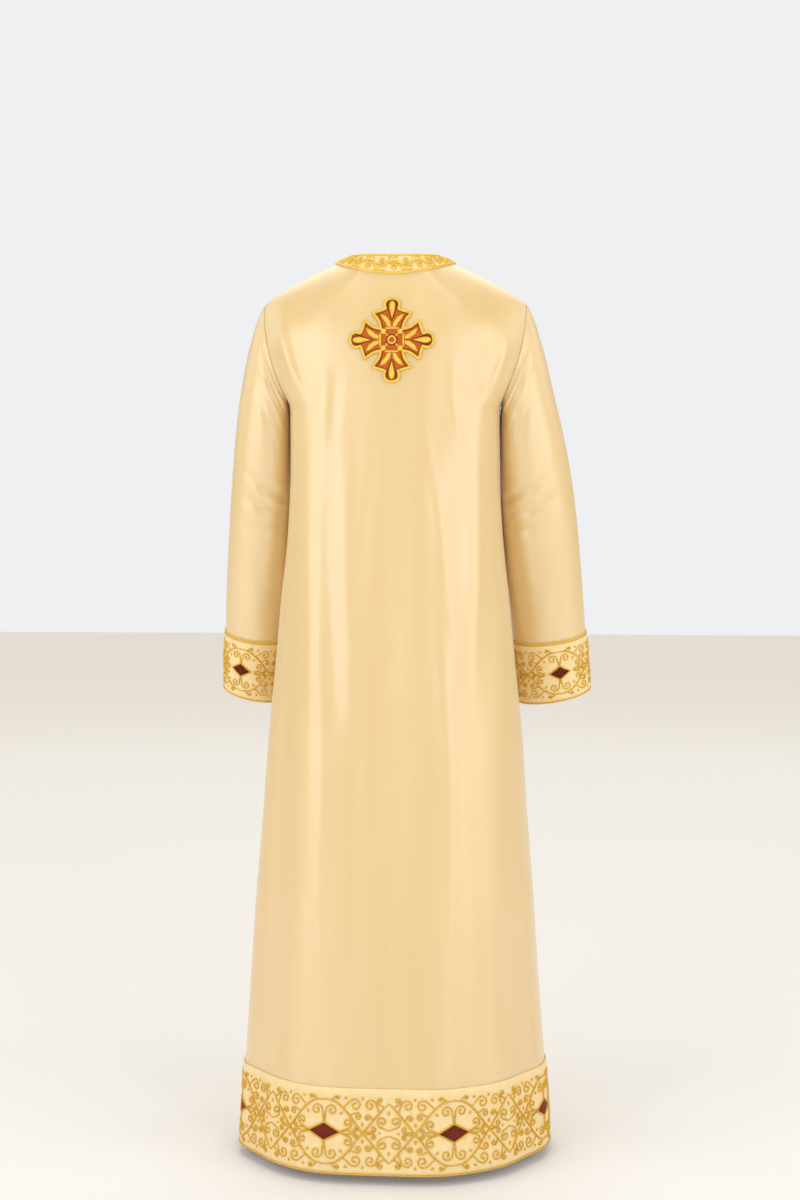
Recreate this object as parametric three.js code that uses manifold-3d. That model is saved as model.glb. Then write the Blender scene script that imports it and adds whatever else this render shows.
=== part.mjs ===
// Altar server robe: a floor-length satin robe with set-in sleeves, worn form, nobody in it.
// Millimetres, Z up. The front faces -Y, the wearer's left arm is on +X.
// The origin lies between the shoulders, where the robe is held.
import * as THREE from "three";
import Module from "manifold-3d";

// Driving dimensions
const CLOTH = 2; // satin wall
const APPLIQUE = 1.6; // stiff embroidered bands
const CROSS_THICK = 1.4;
const LAID_ON = 0.3; // gap under a piece that lies on a panel
const SEAM = 0.3; // gap between two panels at a seam
const ARMHOLE_SEAM = 0.5;
const CHEST_Z = -300;
const HEM_Z = -1428;
const HEM_BAND_TOP_Z = -1296.5;
const UNDERARM_Z = -233;
const SHOULDER_TIP_X = 214.5;
// back_z and front_z are the heights of an edge at the centre back and centre front.
const NECK = { half_width: 71.5, back_z: 9.5, front_z: -88 };
const NECKBAND = { rows: 3, half_width: 98.5, back_z: -23, front_z: -122 };
const CROSS = { z: -130, reach: 68, lift: 0.55, plate_steps: 18, plate_margin: 6 };

// Mesh density
const HALF_COLUMNS = 13;
const SHOULDER_ROWS = 6;
const ARMHOLE_ROWS = 11;
const UNDERARM_ROWS = 2;
const SKIRT_ROWS = 13;
const HEM_BAND_Z = [-1305, -1346, -1387, HEM_Z];

// Level sections of the body. Above the underarm they run on into the sleeves.
// square is the exponent of the section: 2 is an ellipse, more is boxier.
const SECTIONS = [
  { z: 60, half_width: 222, back: 66, front: 56, square: 2.5 },
  { z: 10, half_width: 222, back: 71, front: 60, square: 2.5 },
  { z: -20, half_width: 222, back: 79, front: 68, square: 2.5 },
  { z: -60, half_width: 222, back: 94, front: 84, square: 2.5 },
  { z: -105, half_width: 219.5, back: 108, front: 100, square: 2.5 },
  { z: -143, half_width: 214.5, back: 115, front: 113, square: 2.5 },
  { z: -173, half_width: 206, back: 118, front: 120, square: 2.5 },
  { z: -199, half_width: 193, back: 119, front: 124, square: 2.6 },
  { z: -216, half_width: 182.5, back: 119, front: 125, square: 2.7 },
  { z: -233, half_width: 172.5, back: 119, front: 126, square: 2.95 },
  { z: -260, half_width: 171, back: 119, front: 127, square: 3.1 },
  { z: -300, half_width: 170.5, back: 119, front: 127, square: 3.1 },
  { z: -355, half_width: 171, back: 120, front: 127, square: 3.0 },
  { z: -455, half_width: 176.5, back: 123, front: 129, square: 2.8 },
  { z: -550, half_width: 186.5, back: 129, front: 133, square: 2.65 },
  { z: -657, half_width: 196, back: 137, front: 141, square: 2.5 },
  { z: -765, half_width: 207, back: 146, front: 149, square: 2.4 },
  { z: -896, half_width: 215.5, back: 158, front: 160, square: 2.35 },
  { z: -1027, half_width: 225.5, back: 170, front: 171, square: 2.3 },
  { z: -1158, half_width: 233.5, back: 181, front: 182, square: 2.2 },
  { z: -1289, half_width: 243, back: 192, front: 193, square: 2.15 },
  { z: -1428, half_width: 250.5, back: 204, front: 204, square: 2.12 },
];

// The shoulder line, and the height over which the cloth rounds off behind and before it.
const SHOULDER = [
  { x: 0, z: 42, back_round: 45, front_round: 55 },
  { x: 40, z: 32, back_round: 48, front_round: 60 },
  { x: 71.5, z: 10.5, back_round: 60, front_round: 75 },
  { x: 98.5, z: -2, back_round: 80, front_round: 95 },
  { x: 125, z: -14.5, back_round: 100, front_round: 112 },
  { x: 150, z: -27, back_round: 110, front_round: 120 },
  { x: 188.5, z: -48, back_round: 115, front_round: 125 },
  { x: 214.5, z: -68, back_round: 115, front_round: 125 },
  { x: 240, z: -92, back_round: 115, front_round: 125 },
];

// The armhole seam as seen from behind, from the shoulder tip to the underarm.
const ARMHOLE = [
  { z: -68, x: 214.5 },
  { z: -86, x: 213.6 },
  { z: -105, x: 212 },
  { z: -143, x: 205 },
  { z: -173, x: 196 },
  { z: -199, x: 186 },
  { z: -216, x: 179 },
  { z: -228, x: 174.5 },
  { z: -233, x: 172.5 },
];

// Largest folds of the body: upright ridges (height > 0) and troughs (height < 0).
// at and half are degrees round from the left side seam through the back,
// drift is degrees a metre downwards, and the fold grows from z = from to z = full.
const FOLDS = [
  { at: 90, drift: 0, half: 17, height: -4, from: -120, full: -420 },
  { at: 59, drift: 2, half: 13, height: 5, from: -180, full: -700 },
  { at: 119, drift: -10, half: 12, height: 5, from: -180, full: -700 },
  { at: 34, drift: -3, half: 9, height: -4, from: -330, full: -900 },
  { at: 148, drift: 2, half: 13, height: -10, from: -330, full: -1200 },
  { at: 15, drift: 0, half: 8, height: 4, from: -600, full: -1200 },
  { at: 270, drift: 2, half: 15, height: -5, from: -160, full: -500 },
  { at: 238, drift: 5, half: 12, height: 6, from: -220, full: -900 },
  { at: 303, drift: -4, half: 13, height: 6, from: -220, full: -900 },
  { at: 212, drift: 2, half: 9, height: -6, from: -330, full: -900 },
  { at: 328, drift: -2, half: 10, height: -5, from: -330, full: -900 },
];

// Crescent drag folds beside the armholes: in is the distance from the seam.
const CRESCENTS = [
  { side: "back", arm: 1, in: 33, half: 13, height: 6, from: -90, to: -225 },
  { side: "back", arm: -1, in: 30, half: 12, height: 5, from: -110, to: -230 },
  { side: "front", arm: 1, in: 32, half: 13, height: 5, from: -100, to: -225 },
  { side: "front", arm: -1, in: 34, half: 13, height: 6, from: -100, to: -225 },
];

// Sleeve sections from the armhole to the cuff. outer and inner are the ends of a section
// across the arm, mid_y and half_depth its middle and half depth along Y, tilt its droop
// at the back in degrees. right_outer and right_inner set the right arm further out.
const SLEEVE = [
  { at: 0.0, outer_x: 214.5, outer_z: -68, inner_x: 172.5, inner_z: -233,
    mid_y: -2, half_depth: 54, tilt: 0, right_outer: 0, right_inner: 0 },
  { at: 0.03, outer_x: 221, outer_z: -79, inner_x: 173.9, inner_z: -236.5,
    mid_y: -3, half_depth: 54.5, tilt: 0, right_outer: 0, right_inner: 0 },
  { at: 0.07, outer_x: 229, outer_z: -98, inner_x: 174, inner_z: -242,
    mid_y: -4, half_depth: 55, tilt: 0, right_outer: 0, right_inner: 0 },
  { at: 0.12, outer_x: 237, outer_z: -124, inner_x: 173.3, inner_z: -250,
    mid_y: -5, half_depth: 55, tilt: 1, right_outer: 0, right_inner: 0 },
  { at: 0.18, outer_x: 245, outer_z: -155, inner_x: 172.6, inner_z: -263,
    mid_y: -7, half_depth: 55, tilt: 2, right_outer: 1, right_inner: -0.8 },
  { at: 0.26, outer_x: 252.5, outer_z: -193, inner_x: 172.1, inner_z: -284,
    mid_y: -10, half_depth: 55, tilt: 4, right_outer: 2, right_inner: -1 },
  { at: 0.34, outer_x: 259.5, outer_z: -235, inner_x: 171.9, inner_z: -311,
    mid_y: -13, half_depth: 54, tilt: 6, right_outer: 5, right_inner: -1 },
  { at: 0.42, outer_x: 265, outer_z: -280, inner_x: 172.1, inner_z: -342,
    mid_y: -18, half_depth: 53, tilt: 8, right_outer: 10, right_inner: -1 },
  { at: 0.5, outer_x: 270, outer_z: -330, inner_x: 172.8, inner_z: -376,
    mid_y: -25, half_depth: 52.5, tilt: 10, right_outer: 15, right_inner: -1 },
  { at: 0.58, outer_x: 275, outer_z: -383, inner_x: 173.9, inner_z: -415,
    mid_y: -35, half_depth: 52, tilt: 12, right_outer: 18, right_inner: -0.5 },
  { at: 0.66, outer_x: 279.5, outer_z: -438, inner_x: 174.8, inner_z: -459,
    mid_y: -47, half_depth: 52, tilt: 13, right_outer: 20, right_inner: 1 },
  { at: 0.74, outer_x: 284, outer_z: -495, inner_x: 177, inner_z: -510,
    mid_y: -61, half_depth: 51.5, tilt: 13, right_outer: 20.5, right_inner: 2 },
  { at: 0.82, outer_x: 288, outer_z: -551, inner_x: 181, inner_z: -563,
    mid_y: -75, half_depth: 51, tilt: 12, right_outer: 21, right_inner: 3 },
  { at: 0.895, outer_x: 290.5, outer_z: -606, inner_x: 185, inner_z: -619,
    mid_y: -89, half_depth: 50.5, tilt: 12, right_outer: 22.5, right_inner: 4 },
  { at: 1.0, outer_x: 296, outer_z: -706, inner_x: 194, inner_z: -726,
    mid_y: -115, half_depth: 50, tilt: 12, right_outer: 25, right_inner: 4 },
];
const SLEEVE_STATIONS = [
  0, 0.018, 0.04, 0.07, 0.105, 0.145, 0.19, 0.24, 0.3, 0.36, 0.42, 0.47, 0.505, 0.53, 0.555, 0.58,
  0.605, 0.635, 0.69, 0.75, 0.82, 0.895,
];
const CUFF_STATIONS = [0.905, 0.95, 1.0];
const CAP_END = 0.3; // the armhole's own shape has faded out by this station

// Elbow creases of the sleeves, troughs across the back of the arm on its inner side.
const ELBOW_CREASES = [
  { at: 0.518, half: 0.014, height: -4, round: 122, spread: 55 },
  { at: 0.568, half: 0.013, height: -4.5, round: 115, spread: 55 },
  { at: 0.62, half: 0.014, height: -3, round: 125, spread: 50 },
];

// Outline of one quarter of the cross, from the tip of its lower arm to that of its side arm,
// in millimetres across and up from the centre. The other quarters mirror it.
const CROSS_QUARTER = [
  { across: 0, up: -68 },
  { across: 7, up: -65.5 },
  { across: 11.5, up: -58 },
  { across: 9.5, up: -50 },
  { across: 18, up: -47 },
  { across: 31, up: -44 },
  { across: 21, up: -30 },
  { across: 17.5, up: -17.5 },
  { across: 30, up: -21 },
  { across: 44, up: -31 },
  { across: 47, up: -18 },
  { across: 50, up: -9.5 },
  { across: 58, up: -11.5 },
  { across: 65.5, up: -7 },
];

// Small tools
const radians = THREE.MathUtils.degToRad;
const clamp = THREE.MathUtils.clamp;
const bell = (distance, half) => Math.exp(-((distance / half) ** 2));
const ramp = (value, from, to) => {
  const t = clamp((value - from) / (to - from), 0, 1);
  return t * t * (3 - 2 * t);
};

// A smooth curve through one column of a table, looked up by another column.
function lookUp(rows, key, column, value) {
  const up = rows[0][key] < rows[rows.length - 1][key] ? 1 : -1;
  let i = 0;
  while (i < rows.length - 2 && up * (value - rows[i + 1][key]) > 0) i += 1;
  const slope = (k) => {
    const low = Math.max(k - 1, 0);
    const high = Math.min(k + 1, rows.length - 1);
    return (rows[high][column] - rows[low][column]) / (rows[high][key] - rows[low][key]);
  };
  const span = rows[i + 1][key] - rows[i][key];
  const t = clamp((value - rows[i][key]) / span, 0, 1);
  const start = rows[i][column];
  const end = rows[i + 1][column];
  const a = (1 + 2 * t) * (1 - t) ** 2;
  const b = t * (1 - t) ** 2;
  const c = t * t * (3 - 2 * t);
  const d = t * t * (t - 1);
  return a * start + b * span * slope(i) + c * end + d * span * slope(i + 1);
}

const section = (z) => ({
  half_width: lookUp(SECTIONS, "z", "half_width", z),
  back: lookUp(SECTIONS, "z", "back", z),
  front: lookUp(SECTIONS, "z", "front", z),
  square: lookUp(SECTIONS, "z", "square", z),
});
const shoulderZ = (x) => lookUp(SHOULDER, "x", "z", Math.abs(x));

// Depth of the body form at a place seen from behind, before any folds.
function formY(x, z, side) {
  const at = section(z);
  const round = lookUp(SHOULDER, "x", `${side}_round`, Math.abs(x));
  const share = clamp(1 - (Math.abs(x) / at.half_width) ** at.square, 0, 1);
  const drop = clamp((shoulderZ(x) - z) / round, 0, 1);
  return at[side] * share ** (1 / at.square) * Math.sqrt(1 - (1 - drop) ** 2);
}

// Angle round the section, 0 at the side seam and 90 degrees at the centre.
function turnOf(x, z) {
  const at = section(z);
  return Math.acos(clamp(Math.abs(x) / at.half_width, 0, 1) ** (at.square / 2));
}
function placeOf(turn, fall) {
  let x = 100;
  let z = shoulderZ(x) - fall;
  for (let i = 0; i < 30; i += 1) {
    const at = section(z);
    x = (x + at.half_width * Math.cos(turn) ** (2 / at.square)) / 2;
    z = shoulderZ(x) - fall;
  }
  return { x, z };
}
// Falls below the shoulder line are blended on a scale that is fine near the line.
const FINE = 40;
const fallToScale = (fall) => (fall + Math.sqrt(fall * fall + 4 * FINE * fall)) / 2;
const scaleToFall = (scale) => (scale * scale) / (scale + FINE);

// Points at equal distances along a curve given by a function of 0..1.
function evenly(curve, count) {
  const fine = 240;
  const points = Array.from({ length: fine + 1 }, (_, i) => curve(i / fine));
  const length = [0];
  for (let i = 1; i <= fine; i += 1) {
    length.push(length[i - 1] + points[i].distanceTo(points[i - 1]));
  }
  const out = [];
  let k = 0;
  for (let j = 0; j <= count; j += 1) {
    const want = (length[fine] * j) / count;
    while (k < fine - 1 && length[k + 1] < want) k += 1;
    const t = (want - length[k]) / (length[k + 1] - length[k]);
    out.push(points[k].clone().lerp(points[k + 1], t));
  }
  return out;
}

// Side edge of half a panel: shoulder seam, armhole, then the side seam down to the chest.
function sideEdge(side) {
  const shoulder = evenly((t) => {
    const x = NECKBAND.half_width + t * (SHOULDER_TIP_X - NECKBAND.half_width);
    return new THREE.Vector3(x, 0, shoulderZ(x));
  }, SHOULDER_ROWS);
  const last = ARMHOLE.length - 1;
  const armhole = evenly((t) => {
    const z = ARMHOLE[0].z + (1 - (1 - t) ** 2) * (ARMHOLE[last].z - ARMHOLE[0].z);
    const x = lookUp(ARMHOLE, "z", "x", z);
    return new THREE.Vector3(x, t === 1 ? 0 : formY(x, z, side), z);
  }, ARMHOLE_ROWS);
  const seam = evenly((t) => {
    const z = UNDERARM_Z + t * (CHEST_Z - UNDERARM_Z);
    return new THREE.Vector3(section(z).half_width, 0, z);
  }, UNDERARM_ROWS);
  return [...shoulder, ...armhole.slice(1), ...seam.slice(1)];
}

// Row of a panel that follows the neckline. Seen from behind or from the front it dips
// in a parabola from the shoulder line to the centre.
function neckRow(side, share, turns) {
  const between = (key) => NECK[key] + share * (NECKBAND[key] - NECK[key]);
  const wide = between("half_width");
  const end = shoulderZ(wide);
  return turns.map((turn) => {
    const x = wide * Math.cos(turn);
    const z = end + (between(`${side}_z`) - end) * Math.sin(turn) ** 2;
    return new THREE.Vector3(x, turn === 0 ? 0 : formY(x, z, side), z);
  });
}

// Half a panel, without folds: a row of points from the side edge to the centre line,
// for each level from the neckline down to the hem. x and y are both positive here.
function halfPanel(side) {
  const quarter = Math.PI / 2;
  const turns = Array.from({ length: HALF_COLUMNS + 1 }, (_, i) => (i / HALF_COLUMNS) * quarter);
  const rows = [];
  for (let i = 0; i <= NECKBAND.rows; i += 1) rows.push(neckRow(side, i / NECKBAND.rows, turns));

  const edge = sideEdge(side);
  const steps = edge.length - 1;
  const top = rows[NECKBAND.rows];
  const middleTop = top[HALF_COLUMNS];
  const coords = (p) => ({
    turn: turnOf(p.x, p.z),
    scale: fallToScale(Math.max(shoulderZ(p.x) - p.z, 0)),
  });
  const topCoords = top.map(coords);
  const chest = section(CHEST_Z);
  const bottomCoords = turns.map((turn) => (
    coords({ x: chest.half_width * Math.cos(turn) ** (2 / chest.square), z: CHEST_Z })
  ));
  // How far a point of an edge row stands off the straight line between that row's two ends.
  const bulge = (row, i, key) => {
    const s = i / HALF_COLUMNS;
    return row[i][key] - (1 - s) * row[0][key] - s * row[HALF_COLUMNS][key];
  };
  for (let r = 1; r <= steps; r += 1) {
    const t = r / steps;
    const left = coords(edge[r]);
    const middle = coords({ x: 0, z: middleTop.z + t * (CHEST_Z - middleTop.z) });
    const row = turns.map((turn, i) => {
      if (i === 0) return edge[r].clone();
      const s = i / HALF_COLUMNS;
      const mix = (key) => {
        const across = (1 - s) * left[key] + s * middle[key];
        return across + (1 - t) * bulge(topCoords, i, key) + t * bulge(bottomCoords, i, key);
      };
      const turnHere = i === HALF_COLUMNS ? quarter : mix("turn");
      const place = placeOf(turnHere, scaleToFall(mix("scale")));
      return new THREE.Vector3(place.x, formY(place.x, place.z, side), place.z);
    });
    rows.push(row);
  }

  const drop = (HEM_BAND_TOP_Z - CHEST_Z) / SKIRT_ROWS;
  const levels = Array.from({ length: SKIRT_ROWS }, (_, i) => CHEST_Z + (i + 1) * drop);
  levels.push(...HEM_BAND_Z);
  for (const z of levels) {
    const at = section(z);
    rows.push(turns.map((turn) => new THREE.Vector3(
      at.half_width * Math.cos(turn) ** (2 / at.square),
      at[side] * Math.sin(turn) ** (2 / at.square),
      z,
    )));
  }
  return rows;
}

// How far the folds stand out at a place of the body, in millimetres.
function foldHeight(side, point) {
  const quarter = THREE.MathUtils.radToDeg(turnOf(point.x, point.z));
  let angle = point.x >= 0 ? quarter : 180 - quarter;
  if (side === "front") angle = 360 - angle;
  let height = 0;
  for (const fold of FOLDS) {
    const centre = fold.at + fold.drift * (fold.from - point.z) / 1000;
    height += fold.height * bell(angle - centre, fold.half) * ramp(point.z, fold.from, fold.full);
  }
  for (const fold of CRESCENTS) {
    if (fold.side !== side || fold.arm * point.x <= 0) continue;
    const seam = lookUp(ARMHOLE, "z", "x", Math.max(point.z, UNDERARM_Z));
    const middle = (fold.from + fold.to) / 2;
    const window = bell(point.z - middle, Math.abs(fold.to - fold.from) / 2.2);
    height += fold.height * bell(seam - Math.abs(point.x) - fold.in, fold.half) * window;
  }
  return height;
}

// A whole panel as rows of outer points. The back runs from +X to -X, the front from -X to +X.
function panelRows(side) {
  const out = side === "back" ? 1 : -1;
  return halfPanel(side).map((half) => {
    const mirrored = half.slice(0, -1).reverse();
    const start = half.map((p) => new THREE.Vector3(out * p.x, out * p.y, p.z));
    const end = mirrored.map((p) => new THREE.Vector3(-out * p.x, out * p.y, p.z));
    const row = [...start, ...end];
    row.forEach((p) => {
      const at = section(p.z);
      const x = (Math.abs(p.x) / at.half_width) ** (at.square - 1) / at.half_width;
      const y = (Math.abs(p.y) / at[side]) ** (at.square - 1) / at[side];
      const length = Math.hypot(x, y) || 1;
      const height = foldHeight(side, p);
      p.x += (Math.sign(p.x) * height * x) / length;
      p.y += (Math.sign(p.y) * height * y) / length;
    });
    return row;
  });
}

// Outward unit normals of a grid of rows. closed means that a row runs round and meets itself.
function normalsOf(rows, closed) {
  const last = rows.length - 1;
  return rows.map((row, r) => row.map((_, c) => {
    const n = row.length;
    const before = closed ? (c + n - 1) % n : Math.max(c - 1, 0);
    const after = closed ? (c + 1) % n : Math.min(c + 1, n - 1);
    const across = rows[r][after].clone().sub(rows[r][before]);
    const down = rows[Math.min(r + 1, last)][c].clone().sub(rows[Math.max(r - 1, 0)][c]);
    return down.cross(across).normalize();
  }));
}

const shifted = (rows, normals, distance) => rows.map((row, r) => row.map((p, c) => (
  p.clone().addScaledVector(normals[r][c], distance)
)));

// A closed solid between two grids of the same size.
function solid(outer, inner, closed, mirror = false) {
  const rows = outer.length;
  const columns = outer[0].length;
  const positions = [];
  const side = mirror ? -1 : 1;
  for (const grid of [outer, inner]) {
    for (const row of grid) for (const p of row) positions.push(side * p.x, p.y, p.z);
  }
  const index = [];
  const id = (layer, r, c) => layer * rows * columns + r * columns + (c % columns);
  const quad = (a, b, c, d) => {
    if (mirror) index.push(a, c, b, a, d, c);
    else index.push(a, b, c, a, c, d);
  };
  const spans = closed ? columns : columns - 1;
  for (let r = 0; r < rows - 1; r += 1) {
    for (let c = 0; c < spans; c += 1) {
      quad(id(0, r, c), id(0, r + 1, c), id(0, r + 1, c + 1), id(0, r, c + 1));
      quad(id(1, r, c), id(1, r, c + 1), id(1, r + 1, c + 1), id(1, r + 1, c));
    }
  }
  for (let c = 0; c < spans; c += 1) {
    quad(id(0, 0, c), id(0, 0, c + 1), id(1, 0, c + 1), id(1, 0, c));
    const r = rows - 1;
    quad(id(0, r, c), id(1, r, c), id(1, r, c + 1), id(0, r, c + 1));
  }
  if (!closed) {
    for (let r = 0; r < rows - 1; r += 1) {
      quad(id(0, r, 0), id(1, r, 0), id(1, r + 1, 0), id(0, r + 1, 0));
      const c = columns - 1;
      quad(id(0, r, c), id(0, r + 1, c), id(1, r + 1, c), id(1, r, c));
    }
  }
  const geometry = new THREE.BufferGeometry();
  geometry.setAttribute("position", new THREE.Float32BufferAttribute(positions, 3));
  geometry.setIndex(index);
  geometry.computeVertexNormals();
  return geometry;
}

// A panel with its normals. At a seam the normal stays in the plane of the seam.
function makePanel(side) {
  const rows = panelRows(side);
  const out = side === "back" ? 1 : -1;
  const tipRow = NECKBAND.rows + SHOULDER_ROWS;
  const underarmRow = tipRow + ARMHOLE_ROWS;
  const last = rows[0].length - 1;
  const normals = normalsOf(rows, false);
  rows.forEach((row, r) => {
    for (const c of [0, last]) {
      if (r > tipRow && r < underarmRow) continue;
      row[c].y = (out * SEAM) / 2;
      normals[r][c].y = 0;
      normals[r][c].normalize();
    }
  });
  return { rows, normals, tipRow, underarmRow };
}

const back = makePanel("back");
const front = makePanel("front");
const cloth = (panel) => solid(panel.rows, shifted(panel.rows, panel.normals, -CLOTH), false);

// A stiff band on some rows of a grid.
function band(rows, normals, closed, mirror = false) {
  const outer = shifted(rows, normals, LAID_ON + APPLIQUE);
  return solid(outer, shifted(rows, normals, LAID_ON), closed, mirror);
}

// The neckband rings both panels. It has one point where they meet.
function neckbandGrid() {
  const ring = (pick) => Array.from({ length: NECKBAND.rows + 1 }, (_, r) => {
    const rear = pick(back)[r].map((p) => p.clone());
    const fore = pick(front)[r].slice(1, -1).map((p) => p.clone());
    return [...rear, ...fore];
  });
  const rows = ring((panel) => panel.rows);
  for (const row of rows) {
    row[0].y = 0;
    row[back.rows[0].length - 1].y = 0;
  }
  return { rows, normals: ring((panel) => panel.normals) };
}

// The sleeve of the left arm, or with arm = -1 the right one, still on the +X side.
function sleeveGrid(arm) {
  const last = front.rows[0].length - 1;
  const loop = [];
  for (let r = back.tipRow; r <= back.underarmRow; r += 1) loop.push(back.rows[r][0].clone());
  for (let r = back.underarmRow - 1; r > back.tipRow; r -= 1) loop.push(front.rows[r][last].clone());
  loop[0].y = 0;
  loop[ARMHOLE_ROWS].y = 0;

  const ellipse = (at, turn) => {
    const get = (column) => lookUp(SLEEVE, "at", column, at);
    const extra = arm < 0 ? 1 : 0;
    const outer = new THREE.Vector3(get("outer_x") + extra * get("right_outer"), 0, get("outer_z"));
    const inner = new THREE.Vector3(get("inner_x") + extra * get("right_inner"), 0, get("inner_z"));
    const centre = outer.clone().lerp(inner, 0.5);
    const tilt = radians(get("tilt"));
    const depth = get("half_depth") * Math.sin(turn);
    centre.addScaledVector(outer.sub(inner), Math.cos(turn) / 2);
    return centre.add(new THREE.Vector3(0, get("mid_y") + depth * Math.cos(tilt), -depth * Math.sin(tilt)));
  };
  const stations = [...SLEEVE_STATIONS, ...CUFF_STATIONS];
  const rows = stations.map((at) => loop.map((p, j) => {
    const turn = (j / loop.length) * Math.PI * 2;
    const fade = (1 - ramp(at, 0, CAP_END)) ** 1.5;
    const point = ellipse(at, turn);
    point.addScaledVector(p.clone().sub(ellipse(0, turn)), fade);
    if (at === 0) point.x += ARMHOLE_SEAM;
    return point;
  }));
  const flat = normalsOf(rows, true);
  rows.forEach((row, r) => row.forEach((p, j) => {
    const turn = (j / loop.length) * 360;
    let height = 0;
    for (const crease of ELBOW_CREASES) {
      const round = bell(turn - crease.round, crease.spread);
      height += crease.height * round * bell(stations[r] - crease.at, crease.half);
    }
    p.addScaledVector(flat[r][j], height);
  }));
  const normals = normalsOf(rows, true);
  // At the armhole the wall never leans back into the body.
  normals[0].forEach((n) => {
    n.x = Math.min(n.x, 0);
    n.normalize();
  });
  return { rows, normals };
}

function sleeveGeometry(grid, arm) {
  return solid(grid.rows, shifted(grid.rows, grid.normals, -CLOTH), true, arm < 0);
}
function cuffGeometry(grid, arm) {
  const from = SLEEVE_STATIONS.length - 1;
  return band(grid.rows.slice(from), grid.normals.slice(from), true, arm < 0);
}

function hemBand(panel) {
  const from = panel.rows.length - HEM_BAND_Z.length - 1;
  return band(panel.rows.slice(from), panel.normals.slice(from), false);
}

const manifold = await Module();
manifold.setup();

function toManifold(geometry) {
  return new manifold.Manifold(new manifold.Mesh({
    numProp: 3,
    vertProperties: Float32Array.from(geometry.attributes.position.array),
    triVerts: Uint32Array.from(geometry.index.array),
  }));
}

// The cross: its outline cut through a plate that follows the back panel.
function crossSolid() {
  const steps = CROSS.plate_steps;
  const reach = CROSS.reach + CROSS.plate_margin;
  const plate = [];
  for (let r = 0; r <= steps; r += 1) {
    const z = CROSS.z + reach - (2 * reach * r) / steps;
    plate.push(Array.from({ length: steps + 1 }, (_, c) => {
      const x = reach - (2 * reach * c) / steps;
      const p = new THREE.Vector3(x, formY(x, z, "back"), z);
      p.y += foldHeight("back", p);
      return p;
    }));
  }
  const normals = normalsOf(plate, false);
  const top = shifted(plate, normals, CROSS.lift + CROSS_THICK);
  const shell = solid(top, shifted(plate, normals, CROSS.lift), false);

  const outline = [];
  const quarter = CROSS_QUARTER.map((p) => [p.across, p.up]);
  const rest = quarter.slice(1).reverse();
  outline.push(...quarter, [CROSS.reach, 0], ...rest.map(([a, u]) => [a, -u]));
  outline.push([0, CROSS.reach], ...quarter.slice(1).map(([a, u]) => [-a, -u]));
  outline.push([-CROSS.reach, 0], ...rest.map(([a, u]) => [-a, u]));
  const depth = section(CROSS.z).back;
  const cutter = new manifold.CrossSection([outline], "Positive").extrude(depth, 0, 0, [1, 1], true);
  const placed = cutter.rotate([90, 0, 0]).translate([0, depth, CROSS.z]);
  const mesh = toManifold(shell).intersect(placed).getMesh();
  const geometry = new THREE.BufferGeometry();
  geometry.setAttribute("position", new THREE.Float32BufferAttribute(mesh.vertProperties, 3));
  geometry.setIndex(Array.from(mesh.triVerts));
  geometry.computeVertexNormals();
  return geometry;
}

// The robe
const group = new THREE.Group();
group.name = "altar_server_robe";
function add(name, geometry, color, roughness) {
  const material = new THREE.MeshStandardMaterial({ color, roughness, side: THREE.DoubleSide });
  material.name = `${name}_material`;
  const mesh = new THREE.Mesh(geometry, material);
  mesh.name = name;
  group.add(mesh);
}

const SATIN = 0xf0d6a2;
const GOLD_WORK = 0xe6c06a;
add("back_panel", cloth(back), SATIN, 0.45);
add("front_panel", cloth(front), SATIN, 0.45);
for (const [word, arm] of [["left", 1], ["right", -1]]) {
  const grid = sleeveGrid(arm);
  add(`sleeve_${word}`, sleeveGeometry(grid, arm), SATIN, 0.45);
  add(`cuff_${word}`, cuffGeometry(grid, arm), GOLD_WORK, 0.5);
}
const neckband = neckbandGrid();
add("neckband", band(neckband.rows, neckband.normals, true), GOLD_WORK, 0.5);
add("hem_band_back", hemBand(back), GOLD_WORK, 0.5);
add("hem_band_front", hemBand(front), GOLD_WORK, 0.5);
add("cross", crossSolid(), GOLD_WORK, 0.5);

export default group;
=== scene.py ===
# %% [markdown]
# # An altar server robe in satin and gold work
#
# A server's robe is a plain, floor-length garment. Its beauty lies in two things: heavy satin
# that falls in broad soft columns, and stiff bands of gold embroidery at the neck, wrists and
# hem. This lesson dresses the imported solids of such a robe. Each panel is made again as a fine
# grid on the same form, with listed creases, and each band gets raised cords that lie on it.
# The cloth could also come from a cloth simulation. A worked-out form was chosen, because it
# stays on the solids, is the same on every run, and lets each crease be placed.
# Working sizes are millimetres, and every mesh is scaled to metres when it is made.

import math
import random

import bmesh
import bpy
import numpy as np
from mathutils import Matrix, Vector
from mathutils.geometry import delaunay_2d_cdt


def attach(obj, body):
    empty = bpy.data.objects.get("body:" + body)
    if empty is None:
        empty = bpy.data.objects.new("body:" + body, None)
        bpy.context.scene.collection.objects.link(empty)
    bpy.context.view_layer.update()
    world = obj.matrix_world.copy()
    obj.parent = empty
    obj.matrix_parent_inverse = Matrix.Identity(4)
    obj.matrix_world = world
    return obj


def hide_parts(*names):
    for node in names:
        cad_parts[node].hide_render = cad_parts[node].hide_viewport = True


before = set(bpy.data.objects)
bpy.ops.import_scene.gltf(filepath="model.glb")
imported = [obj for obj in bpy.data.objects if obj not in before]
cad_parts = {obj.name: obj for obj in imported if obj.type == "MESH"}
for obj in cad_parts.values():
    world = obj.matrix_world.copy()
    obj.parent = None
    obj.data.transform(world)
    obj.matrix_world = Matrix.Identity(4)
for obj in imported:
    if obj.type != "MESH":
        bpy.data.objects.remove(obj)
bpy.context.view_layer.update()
MM = 0.001
print("nodes:", sorted(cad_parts))

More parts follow.
